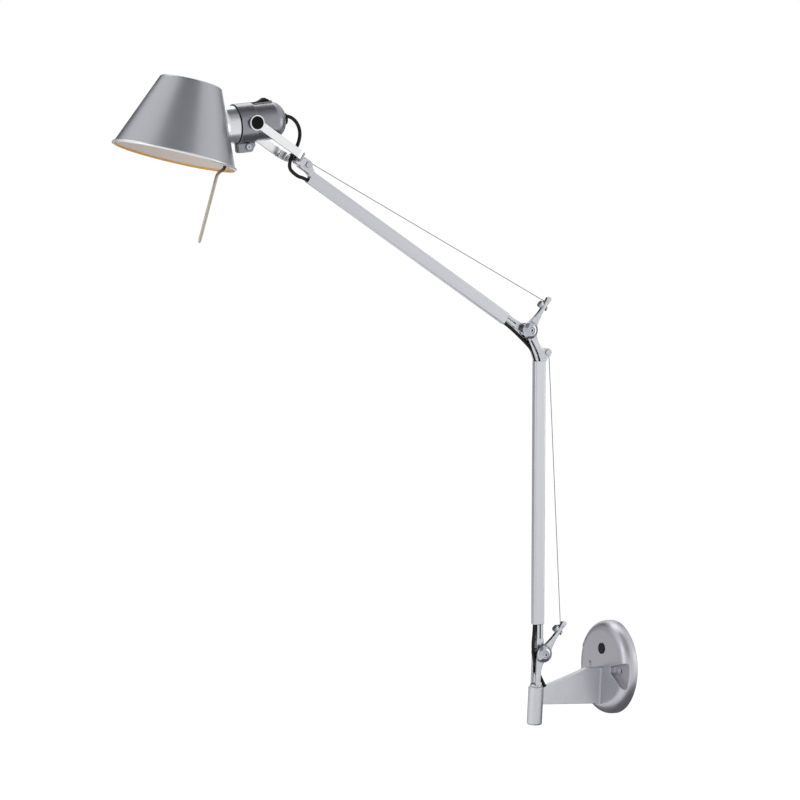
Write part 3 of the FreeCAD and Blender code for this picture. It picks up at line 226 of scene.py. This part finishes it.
# balance wires: from the stud on each lever, over the pulley, to the spring in the tube
wireSetup = {
    "radius": mm(0.6),
    "runRadius": mm(5.03),             # centre of the pulley to the middle of the wire
    "stud": (mm(31.05), mm(40.46)),    # on the lever, from the joint's pivot
    "studRadius": mm(2.1),             # to the middle of the wire beside it
    "springAcross": mm(-2.0),
    "springAlong": {"lower": mm(403.0), "upper": mm(384.8)},
    "lean": {"lower": 2.9, "upper": 59.65},   # degrees from upright
    "bendShare": 0.12,                 # share of the free run
    "sides": 12,
    "freeSteps": 60,                   # rings along the free run, round the pulley and inside the tube
    "wrapSteps": 12,
    "tubeSteps": 6,
}


def leaning(start, across, along, lean):
    # a place beside and along an arm that leans, from the arm's lower pivot
    return start + Matrix.Rotation(math.radians(lean), 3, "X") @ Vector((0, across, along))


def touchSpot(outside, centre, radius, side):
    # where a straight wire from a point outside meets the groove
    away = outside - centre
    turn = math.atan2(away.z, away.y) + side * math.acos(radius / away.length)
    return turn, centre + radius * Vector((0, math.cos(turn), math.sin(turn)))


def makeWire(name, arm, start, anchorLean):
    low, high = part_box(arm + "_pulley")
    centre = (low + high) / 2
    lean = wireSetup["lean"][arm]
    run = wireSetup["runRadius"]
    free, wrap, tail = wireSetup["freeSteps"], wireSetup["wrapSteps"], wireSetup["tubeSteps"]
    stud = leaning(start, *wireSetup["stud"], anchorLean)
    anchor = stud + wireSetup["studRadius"] * (centre - stud).normalized().cross(sideways)
    springTop = leaning(start, wireSetup["springAcross"], wireSetup["springAlong"][arm], lean)
    outerTurn, outer = touchSpot(anchor, centre, run, 1)
    innerTurn, inner = touchSpot(springTop, centre, run, -1)
    if innerTurn < outerTurn:
        innerTurn += 2 * math.pi
    line = [anchor.lerp(outer, step / free) for step in range(free)]
    for step in range(wrap + 1):
        turn = outerTurn + (innerTurn - outerTurn) * step / wrap
        line.append(centre + run * Vector((0, math.cos(turn), math.sin(turn))))
    line += [inner.lerp(springTop, step / tail) for step in range(1, tail + 1)]
    piece = roundTube(name, line, wireSetup["radius"], wireSetup["sides"])
    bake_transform(piece)
    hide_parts(arm + "_wire")
    return piece


# the lower wire's lever stands on the upright stem, the upper wire's on the leaning lower arm
armLean = wireSetup["lean"]
wires = [
    makeWire("lowerWire", "lower", pivot["lower_arm_tilt"], 0.0),
    makeWire("upperWire", "upper", pivot["elbow_fold"], armLean["lower"]),
]
print("wires done")


# what the finishes share
fineDetail, broadDetail = 4.0, 2.0   # how rough the noise's outlines are
grainRange = (0.3, 0.7)              # most of a grain's values lie in here
reliefStrength = 0.5
bevelSamples = 6
firstColour, secondColour, mixedColour = 6, 7, 2   # sockets of a mix of colours, by place
firstNumber, secondNumber = 2, 3                   # and of a mix of numbers


def newMaterial(name):
    material = bpy.data.materials.new(name)
    material.use_nodes = True
    tree = material.node_tree
    place = addNode(tree, "ShaderNodeTexCoord").outputs["Object"]
    return material, tree, tree.nodes["Principled BSDF"], place


def grain(tree, place, size, detail, stretch=(1, 1, 1)):
    # mottling with spots about size metres across, drawn out along an axis by a stretch above 1
    spread = addNode(tree, "ShaderNodeVectorMath", {0: place, 1: [1 / (size * s) for s in stretch]},
                     operation="MULTIPLY")
    noise = addNode(tree, "ShaderNodeTexNoise", {"Vector": spread.outputs[0], "Scale": 1.0, "Detail": detail})
    return noise.outputs["Fac"]


def tinted(tree, spots, dark, pale):
    # two close shades, mixed by a grain's spots
    share = addNode(tree, "ShaderNodeMapRange", {
        "Value": spots, "From Min": grainRange[0], "From Max": grainRange[1]}).outputs[0]
    return addNode(tree, "ShaderNodeMix", {
        "Factor": share, firstColour: linear(dark), secondColour: linear(pale)},
        data_type="RGBA").outputs[mixedColour]


def patchedRoughness(tree, place, look):
    # roughness that drifts between two values in broad patches
    broad = grain(tree, place, mm(look["patch"]), broadDetail)
    smoothest, roughest = look["roughness"]
    return addNode(tree, "ShaderNodeMapRange", {
        "Value": broad, "From Min": grainRange[0], "From Max": grainRange[1],
        "To Min": smoothest, "To Max": roughest}).outputs[0]


# painted shade: the dark line in a seam, as shares of open sky over a point
paintedSeamShadeSetup = {"colour": "#242326", "closed": 0.40, "open": 0.88, "samples": 8}


def paintSeamShade(tree, colour, width):
    # painted shade where one piece meets another, for that width beside the seam
    look = paintedSeamShadeSetup
    openness = addNode(tree, "ShaderNodeAmbientOcclusion", {"Distance": mm(width)},
                       samples=look["samples"]).outputs["AO"]
    share = addNode(tree, "ShaderNodeMapRange", {
        "Value": openness, "From Min": look["closed"], "From Max": look["open"]}).outputs[0]
    return addNode(tree, "ShaderNodeMix", {
        "Factor": share, firstColour: linear(look["colour"]), secondColour: colour},
        data_type="RGBA").outputs[mixedColour]


def finish(name, look):
    # the shared build of a surface: two close shades and a relief by the fine grain, roughness by broad patches
    material, tree, shader, place = newMaterial(name)
    fine = grain(tree, place, mm(look["grain"]), fineDetail)
    colour = tinted(tree, fine, look["dark"], look["pale"])
    # painted shade in the seams, where the look asks for it
    if "seamShadeWidth" in look:
        colour = paintSeamShade(tree, colour, look["seamShadeWidth"])
    tree.links.new(colour, shader.inputs["Base Color"])
    tree.links.new(patchedRoughness(tree, place, look), shader.inputs["Roughness"])
    relief = addNode(tree, "ShaderNodeBump", {
        "Height": fine, "Distance": mm(look["relief"]), "Strength": reliefStrength})
    if "edge" in look:
        rounded = addNode(tree, "ShaderNodeBevel", {"Radius": mm(look["edge"])}, samples=bevelSamples)
        tree.links.new(rounded.outputs[0], relief.inputs["Normal"])
    tree.links.new(relief.outputs[0], shader.inputs["Normal"])
    shader.inputs["Metallic"].default_value = look.get("metallic", 0.0)
    if "ior" in look:
        shader.inputs["IOR"].default_value = look["ior"]
    if "specular" in look:
        shader.inputs["Specular IOR Level"].default_value = look["specular"]
    if "coat" in look:
        shader.inputs["Coat Weight"].default_value = look["coat"]
        shader.inputs["Coat Roughness"].default_value = look["coatRoughness"]
    return material, tree, shader, place


# die-cast aluminium under a silver lacquer: soft grey sheen with a faint flake in it
plateSetup = {
    "dark": "#b3b2b9", "pale": "#c1c0c7", "metallic": 1.0, "roughness": (0.35, 0.42),
    "grain": 0.9,    # flakes of 0.05 mm, drawn coarser so that they show
    "patch": 14.0, "relief": 0.02,
    "edge": 2.0,     # radius of the cast edges
}

# the bracket's casting is rougher under the same lacquer, its colour set lighter than the plate's as painted
# light against the darker reflection of the low card
litBracketSetup = {
    "dark": "#bbbcc1", "pale": "#cbccd1", "metallic": 1.0, "roughness": (0.38, 0.45),
    "grain": 0.9,    # the same flakes, as coarse
    "patch": 14.0, "relief": 0.03, "edge": 1.2,
}

# the lampholder's casting, under a smoother grey lacquer, its colour set darker than the plate's: partly
# painted shade for its shaded top
shadedHousingSetup = {
    "dark": "#87878e", "pale": "#94949b", "metallic": 1.0, "roughness": (0.26, 0.31),
    "grain": 0.9,    # flakes again
    "patch": 12.0, "relief": 0.02, "edge": 0.8, "seamShadeWidth": 2.5,
}

# spun aluminium, matt anodised: fine rings round the axis left by the spinning tool, and white enamel inside
shadeSetup = {
    "dark": "#a6a8ae", "pale": "#b4b6bc", "metallic": 1.0, "roughness": (0.34, 0.40),
    "grain": 0.8, "patch": 20.0, "relief": 0.02, "reliefStrength": 0.6,
    "ringPitch": 0.9,   # tool marks of 0.2 mm, drawn coarser
    "ringDetail": 3.0,
    "lean": -11.3,      # degrees about X
    "rimFromPivot": (0.0, mm(-97.7), mm(-73.7)),   # in the shade's own leaning frame
    "inside": "#e2deda", "insideRoughness": 0.5,
    "paintedRimGlow": "#e2ae58", "rimGlowDepth": (mm(0.8), mm(2.8)),   # painted lamplight caught in the rolled rim
    "paintedBeadHighlight": "#dcdee0", "beadHighlightHeight": (mm(1.2), mm(2.6)),   # painted highlight: the bead is painted brighter than the cone
    "inner": mm(45.0),  # height of a point inside, to tell inner faces from outer ones
}

# spun and brushed neck, brighter than the shade
neckSetup = {
    "dark": "#cdd0d3", "pale": "#dee0e2", "metallic": 1.0, "roughness": (0.26, 0.32),
    "grain": 0.7,    # brush marks of 0.1 mm, drawn coarser
    "patch": 12.0, "relief": 0.02,
}

# extruded aluminium, satin anodised: pale, with drawing lines along the tube
tubeSetup = {
    "dark": "#bfc0c6", "pale": "#c4c5ca", "metallic": 1.0, "roughness": (0.34, 0.37),
    "grain": 1.8,    # lines of 0.1 mm, drawn coarser
    "lineLength": 150,   # in widths of a line
    "patch": 30.0, "relief": 0.001,
}

# die-cast aluminium, buffed: mirror-like with slow waves from the buffing wheel
polishedSetup = {
    "dark": "#b9bac0", "pale": "#cacbd0", "metallic": 1.0, "roughness": (0.15, 0.22),
    "grain": 5.0, "patch": 9.0, "relief": 0.10,
    "edge": 1.8,     # radius to which the buffing wheel has worn the edges
    "seamShadeWidth": 4.0,
}

# chromium-plated steel: the brightest metal here
chromeSetup = {
    "dark": "#e6e7ea", "pale": "#eff0f2", "metallic": 1.0, "roughness": (0.17, 0.23),
    "grain": 4.0, "patch": 8.0, "relief": 0.03, "edge": 0.8, "seamShadeWidth": 2.5,
}

# bent steel rod, nickel plated: a warm grey, set darker so that it also carries painted shade from the dark
# reflections along its edges
handleSetup = {
    "dark": "#a59e94", "pale": "#aca59b", "metallic": 1.0, "roughness": (0.24, 0.30),
    "grain": 5.0, "patch": 12.0, "relief": 0.01,
    "paintedWarmReflection": "#54453a", "warmReflectionFromTop": (mm(30), mm(42)),   # painted warm reflection of the lit shade's inside, towards the end beside the bulb
}

# turned steel caps, chromium plated: a shaded copy of the bright chrome, painted greyer and bluer to stand in
# for the grey studio reflection, with a painted shade line at their foot
shadedChromeCapSetup = {
    "dark": "#a6aab2", "pale": "#b6b9c0", "metallic": 1.0, "roughness": (0.12, 0.18),
    "grain": 1.5, "patch": 6.0, "relief": 0.02, "edge": 2.4, "seamShadeWidth": 3.0,
}

# twisted steel strands: dull grey, ribbed by the strands
wireSteelSetup = {
    "dark": "#6d6f73", "pale": "#a4a6aa", "metallic": 1.0, "roughness": (0.38, 0.48),
    "grain": 0.8,    # strands of 0.2 mm, drawn coarser
    "patch": 8.0, "relief": 0.05,
}

# zinc-plated steel: a greyer, slightly cloudy bright metal
zincSetup = {
    "dark": "#a8abb0", "pale": "#c3c6ca", "metallic": 1.0, "roughness": (0.22, 0.34),
    "grain": 1.2, "patch": 4.0, "relief": 0.02, "seamShadeWidth": 1.5,
}

# moulded black nylon: fine spark texture, dull sheen
nylonSetup = {
    "dark": "#070708", "pale": "#0e0e10", "roughness": (0.44, 0.54), "ior": 1.53, "specular": 0.18,
    "grain": 0.5,    # spark pits of 0.1 mm, drawn coarser
    "patch": 6.0, "relief": 0.04,
}

# soft PVC sheath: smooth, slightly waxy black
sheathSetup = {
    "dark": "#070708", "pale": "#0d0d0f", "roughness": (0.40, 0.50), "ior": 1.52, "specular": 0.25,
    "grain": 0.9, "patch": 10.0, "relief": 0.02,
}

# natural acetal: milky white bearing plastic
acetalSetup = {
    "dark": "#dcdad2", "pale": "#e8e6de", "roughness": (0.30, 0.38), "ior": 1.48,
    "grain": 1.0, "patch": 6.0, "relief": 0.01,
}

# glazed steatite: white ceramic with a glassy coat
ceramicSetup = {
    "dark": "#e2dfd6", "pale": "#efece4", "roughness": (0.20, 0.30), "ior": 1.55, "coat": 0.8,
    "coatRoughness": 0.08, "grain": 1.5, "patch": 8.0, "relief": 0.03,
}

# nickel-plated brass: a warm, bright contact metal
nickelSetup = {
    "dark": "#b9ad90", "pale": "#d3c8ab", "metallic": 1.0, "roughness": (0.20, 0.30),
    "grain": 1.0, "patch": 5.0, "relief": 0.02,
}

# opal glass: a white inner coating that spreads a warm light
glassSetup = {
    "dark": "#f3ecdf", "pale": "#fbf6ec", "roughness": (0.22, 0.30), "ior": 1.50,
    "grain": 2.0, "patch": 15.0, "relief": 0.01,
    "glow": "#ffe8cf", "glowStrength": 1.3,
}


def drawnTube(name, lean):
    # drawing lines run along the tube, so the grain is laid in the tube's own leaning frame
    look = tubeSetup
    material, tree, shader, place = newMaterial(name)
    laid = addNode(tree, "ShaderNodeMapping", {"Vector": place, "Rotation": (math.radians(lean), 0, 0)},
                   vector_type="TEXTURE").outputs[0]
    fine = grain(tree, laid, mm(look["grain"]), broadDetail, (1, 1, look["lineLength"]))
    tree.links.new(tinted(tree, fine, look["dark"], look["pale"]), shader.inputs["Base Color"])
    tree.links.new(patchedRoughness(tree, place, look), shader.inputs["Roughness"])
    relief = addNode(tree, "ShaderNodeBump", {
        "Height": fine, "Distance": mm(look["relief"]), "Strength": reliefStrength})
    tree.links.new(relief.outputs[0], shader.inputs["Normal"])
    shader.inputs["Metallic"].default_value = look["metallic"]
    return material


def spunShade():
    look = shadeSetup
    material, tree, shader, place = newMaterial("spunSatinAluminium")

    # height above the rim, in the shade's own leaning frame
    turn = Matrix.Rotation(math.radians(look["lean"]), 3, "X")
    rimCentre = pivot["head_tilt"] + turn @ Vector(look["rimFromPivot"])
    laid = addNode(tree, "ShaderNodeMapping", {
        "Vector": place, "Location": rimCentre, "Rotation": (math.radians(look["lean"]), 0, 0)},
        vector_type="TEXTURE").outputs[0]
    height = addNode(tree, "ShaderNodeSeparateXYZ", {0: laid}).outputs["Z"]

    # tool rings and grain in equal shares
    ringCount = addNode(tree, "ShaderNodeMath", {0: height, 1: 1 / mm(look["ringPitch"])},
                        operation="MULTIPLY").outputs[0]
    rings = addNode(tree, "ShaderNodeTexNoise", {
        "W": ringCount, "Scale": 1.0, "Detail": look["ringDetail"]}, noise_dimensions="1D").outputs["Fac"]
    fine = grain(tree, place, mm(look["grain"]), fineDetail)
    both = addNode(tree, "ShaderNodeMath", {0: rings, 1: fine}, operation="ADD").outputs[0]
    half = addNode(tree, "ShaderNodeMath", {0: both, 1: 0.5}, operation="MULTIPLY").outputs[0]

    # outside, the bead gets a painted highlight; inside, the lip gets painted lamplight
    highlightLow, highlightHigh = look["beadHighlightHeight"]
    aboveHighlight = addNode(tree, "ShaderNodeMapRange", {
        "Value": height, "From Min": highlightLow, "From Max": highlightHigh}).outputs[0]
    outer = addNode(tree, "ShaderNodeMix", {
        "Factor": aboveHighlight, firstColour: linear(look["paintedBeadHighlight"]),
        secondColour: tinted(tree, half, look["dark"], look["pale"])}, data_type="RGBA").outputs[mixedColour]
    glowLow, glowHigh = look["rimGlowDepth"]
    aboveGlow = addNode(tree, "ShaderNodeMapRange", {
        "Value": height, "From Min": glowLow, "From Max": glowHigh}).outputs[0]
    inner = addNode(tree, "ShaderNodeMix", {
        "Factor": aboveGlow, firstColour: linear(look["paintedRimGlow"]), secondColour: linear(look["inside"])},
        data_type="RGBA").outputs[mixedColour]

    # inner faces look back at a point inside the shade
    inside = turn @ Vector((0, 0, look["inner"])) + rimCentre
    away = addNode(tree, "ShaderNodeVectorMath", {0: place, 1: inside}, operation="SUBTRACT").outputs[0]
    facing = addNode(tree, "ShaderNodeVectorMath", {0: away, 1: place.node.outputs["Normal"]},
                     operation="DOT_PRODUCT").outputs["Value"]
    isInside = addNode(tree, "ShaderNodeMath", {0: facing, 1: 0.0}, operation="LESS_THAN").outputs[0]
    isOutside = addNode(tree, "ShaderNodeMath", {0: 1.0, 1: isInside}, operation="SUBTRACT").outputs[0]
    colour = addNode(tree, "ShaderNodeMix", {
        "Factor": isInside, firstColour: outer, secondColour: inner}, data_type="RGBA").outputs[mixedColour]
    satin = patchedRoughness(tree, place, look)
    rough = addNode(tree, "ShaderNodeMix", {
        "Factor": isInside, firstNumber: satin, secondNumber: look["insideRoughness"]}, data_type="FLOAT")
    relief = addNode(tree, "ShaderNodeBump", {
        "Height": half, "Distance": mm(look["relief"]), "Strength": look["reliefStrength"]})
    tree.links.new(colour, shader.inputs["Base Color"])
    tree.links.new(isOutside, shader.inputs["Metallic"])
    tree.links.new(rough.outputs[0], shader.inputs["Roughness"])
    tree.links.new(relief.outputs[0], shader.inputs["Normal"])
    return material


def rodWithWarmReflection():
    # the shared finish, with a painted warm reflection towards the rod's upper end
    material, tree, shader, place = finish("nickelPlatedRod", handleSetup)
    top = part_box("handle")[1][2]
    near, far = handleSetup["warmReflectionFromTop"]
    height = addNode(tree, "ShaderNodeSeparateXYZ", {0: place}).outputs["Z"]
    share = addNode(tree, "ShaderNodeMapRange", {
        "Value": height, "From Min": top - far, "From Max": top - near}).outputs[0]
    plain = shader.inputs["Base Color"].links[0].from_socket
    reflectedWarmth = addNode(tree, "ShaderNodeMix", {
        "Factor": share, firstColour: plain, secondColour: linear(handleSetup["paintedWarmReflection"])},
        data_type="RGBA").outputs[mixedColour]
    tree.links.new(reflectedWarmth, shader.inputs["Base Color"])
    return material


def opalGlass():
    material, tree, shader, place = finish("opalGlass", glassSetup)
    shader.inputs["Emission Color"].default_value = linear(glassSetup["glow"])
    shader.inputs["Emission Strength"].default_value = glassSetup["glowStrength"]
    return material


def dress(material, *names):
    for name in names:
        thing = frame["nodes"].get(name) or bpy.data.objects[name]
        if thing.data.materials:
            for slot in range(len(thing.data.materials)):
                thing.data.materials[slot] = material
        else:
            thing.data.materials.append(material)


# the pieces that each shared finish goes on
dressing = {
    "lacqueredCastPlate": (plateSetup, ["wall_plate"]),
    "lacqueredCastBracket": (litBracketSetup, ["bracket_arm"]),
    "greyCastAluminium": (shadedHousingSetup, ["holder_housing", "clamp_ring"]),
    "brushedNeckAluminium": (neckSetup, ["shade_neck"]),
    "buffedCastAluminium": (polishedSetup, [
        "stem_casting", "lower_root", "upper_root", "elbow_casting", "arm_end", "shade_inner_ring",
        "handle_clamp"]),
    "chromePlatedSteel": (chromeSetup, ["fork", "lower_pulley", "upper_pulley"]),
    "shadedChromeCaps": (shadedChromeCapSetup, ["base_joint_cap", "elbow_joint_cap"]),
    "twistedSteelWire": (wireSteelSetup, ["lower_wire", "upper_wire", *[wire.name for wire in wires]]),
    "zincPlatedSteel": (zincSetup, [
        "root_screws", "retaining_screw", "base_joint_fasteners", "elbow_joint_fasteners", "lower_pulley_pin",
        "upper_pulley_pin", "lower_spring", "upper_spring", "swivel_screw", "head_screws", "clamp_screw",
        "base_trim_screw", "elbow_trim_screw"]),
    "mouldedBlackNylon": (nylonSetup, [
        "hole_plug", "head_caps", "head_spacers", "seam_gasket", "switch_body", "rocker", "lead_gland",
        "terminal_block"]),
    "softBlackPvc": (sheathSetup, [
        "bracket_lead", "lower_tube_lead", "upper_tube_lead", "head_lead", "elbow_lead", "base_lead",
        *[lead.name for lead in leads]]),
    "naturalAcetal": (acetalSetup, [
        "stem_bush", "base_friction_washers", "elbow_friction_washers", "swivel_washer"]),
    "glazedSteatite": (ceramicSetup, ["socket_insulator"]),
    "nickelPlatedBrass": (nickelSetup, ["socket_contacts", "bulb_cap"]),
}
for materialName, (look, pieces) in dressing.items():
    dress(finish(materialName, look)[0], *pieces)
dress(spunShade(), "shade")
dress(drawnTube("drawnAluminiumLower", armLean["lower"]), "lower_tube")
dress(drawnTube("drawnAluminiumUpper", armLean["upper"]), "upper_tube")
dress(rodWithWarmReflection(), "handle")
dress(opalGlass(), "bulb_glass")
print("finishes done")


# studio: pale surroundings, three soft lamps, and cards for the metal to mirror
studioSetup = {
    "white": "#ffffff",
    "fill": 0.55,            # strength of the surroundings as light
    "floorDrop": 0.45,       # below the lamp's lowest point
    "floorRadius": 7.0,
    "floorColour": "#e4e4e4",
    "floorLift": 0.57,       # brings the lit floor up to white and keeps its shadow
    # place, aim, width and height in metres, power in watts
    "softboxes": {
        "topSoftbox": ((-1.0, -0.5, 2.7), (0, -0.5, 0.4), (2.0, 2.0), 16),
        "rightSoftbox": ((1.2, 1.35, 0.6), (0, -0.3, 0.4), (0.8, 1.4), 5),
        "leftSoftbox": ((0.2, -2.7, 0.9), (0, -0.5, 0.5), (1.0, 1.8), 7),
    },
    # cards that only shiny surfaces see: distance from the camera's aim, degrees round from the camera,
    # height of the middle, width and height of the card, shade
    "flags": {
        "cameraFlag": (1.3, 4.0, 2.2, 2.1, 2.8, "#a8a8ab"),
        "leftFlag": (2.4, 238.0, 0.6, 1.3, 2.2, "#b4b4b8"),
        "rightFlag": (2.2, 118.0, 0.3, 0.8, 2.4, "#0d0d0d"),
        "leverFlag": (2.2, 220.0, 1.45, 0.9, 1.3, "#0d0d0d"),
        "farLeftFlag": (2.2, 208.0, 0.5, 0.7, 2.6, "#0d0d0d"),
        "farRightFlag": (2.2, 152.0, 0.5, 0.7, 2.6, "#0d0d0d"),
        "lowFlag": (0.35, 134.0, -0.42, 1.6, 1.6, "#747478"),
        "topFlag": (0.25, 298.0, 1.9, 0.9, 0.9, "#303034"),
    },
}


def seenDirectly(tree):
    # 1 for what the camera sees straight, in metal or through glass
    path = addNode(tree, "ShaderNodeLightPath")
    shiny = addNode(tree, "ShaderNodeMath", {
        0: path.outputs["Is Glossy Ray"], 1: path.outputs["Is Transmission Ray"]},
        operation="MAXIMUM").outputs[0]
    return addNode(tree, "ShaderNodeMath", {0: path.outputs["Is Camera Ray"], 1: shiny},
                   operation="MAXIMUM").outputs[0]


def studioWorld():
    world = bpy.data.worlds.new("studioWorld")
    bpy.context.scene.world = world
    world.use_nodes = True
    tree = world.node_tree
    tree.nodes.clear()
    white = linear(studioSetup["white"])
    fill = addNode(tree, "ShaderNodeBackground", {"Color": white, "Strength": studioSetup["fill"]}).outputs[0]
    backdrop = addNode(tree, "ShaderNodeBackground", {"Color": white, "Strength": 1.0}).outputs[0]
    mixed = addNode(tree, "ShaderNodeMixShader", {0: seenDirectly(tree), 1: fill, 2: backdrop}).outputs[0]
    addNode(tree, "ShaderNodeOutputWorld", {"Surface": mixed})


def card(name, width, height):
    mesh = bpy.data.meshes.new(name)
    corners = [(-width / 2, -height / 2, 0), (width / 2, -height / 2, 0),
               (width / 2, height / 2, 0), (-width / 2, height / 2, 0)]
    mesh.from_pydata(corners, [], [(0, 1, 2, 3)])
    return addObject(name, mesh)


def studioFloor():
    material = bpy.data.materials.new("paleFloor")
    material.use_nodes = True
    tree = material.node_tree
    tree.nodes.clear()
    paint = addNode(tree, "ShaderNodeBsdfDiffuse", {"Color": linear(studioSetup["floorColour"])}).outputs[0]
    strength = addNode(tree, "ShaderNodeMath", {0: seenDirectly(tree), 1: studioSetup["floorLift"]},
                       operation="MULTIPLY").outputs[0]
    lift = addNode(tree, "ShaderNodeEmission", {
        "Color": linear(studioSetup["white"]), "Strength": strength}).outputs[0]
    both = addNode(tree, "ShaderNodeAddShader", {0: paint, 1: lift}).outputs[0]
    addNode(tree, "ShaderNodeOutputMaterial", {"Surface": both})
    floor = card("floor", 2 * studioSetup["floorRadius"], 2 * studioSetup["floorRadius"])
    floor.location = (0, 0, cadLow.z - studioSetup["floorDrop"])
    floor.data.materials.append(material)


def aimed(thing, place, aim):
    thing.location = place
    thing.rotation_euler = (Vector(aim) - Vector(place)).to_track_quat("-Z", "Y").to_euler()


def studioLights():
    for name, (place, aim, size, power) in studioSetup["softboxes"].items():
        light = bpy.data.lights.new(name, "AREA")
        light.shape = "RECTANGLE"
        light.size, light.size_y = size
        light.energy = power
        box = addObject(name, light)
        box.visible_camera = False
        aimed(box, place, aim)


def studioFlags():
    aim = cameraSetup["aim"]
    level = Vector((towardsCamera.x, towardsCamera.y, 0)).normalized()
    for name, (distance, turn, height, width, tall, shade) in studioSetup["flags"].items():
        material = bpy.data.materials.new(name + "Cloth")
        material.use_nodes = True
        tree = material.node_tree
        tree.nodes.clear()
        glow = addNode(tree, "ShaderNodeEmission", {"Color": linear(shade)}).outputs[0]
        addNode(tree, "ShaderNodeOutputMaterial", {"Surface": glow})
        away = Matrix.Rotation(math.radians(turn), 3, "Z") @ level
        flag = card(name, width, tall)
        aimed(flag, aim + away * distance + Vector((0, 0, height - aim.z)), aim)
        flag.data.materials.append(material)
        flag.visible_camera = False
        flag.visible_diffuse = False
        flag.visible_shadow = False


studioWorld()
studioFloor()
studioLights()
studioFlags()
bpy.context.scene.view_settings.view_transform = "Standard"
print("studio done")
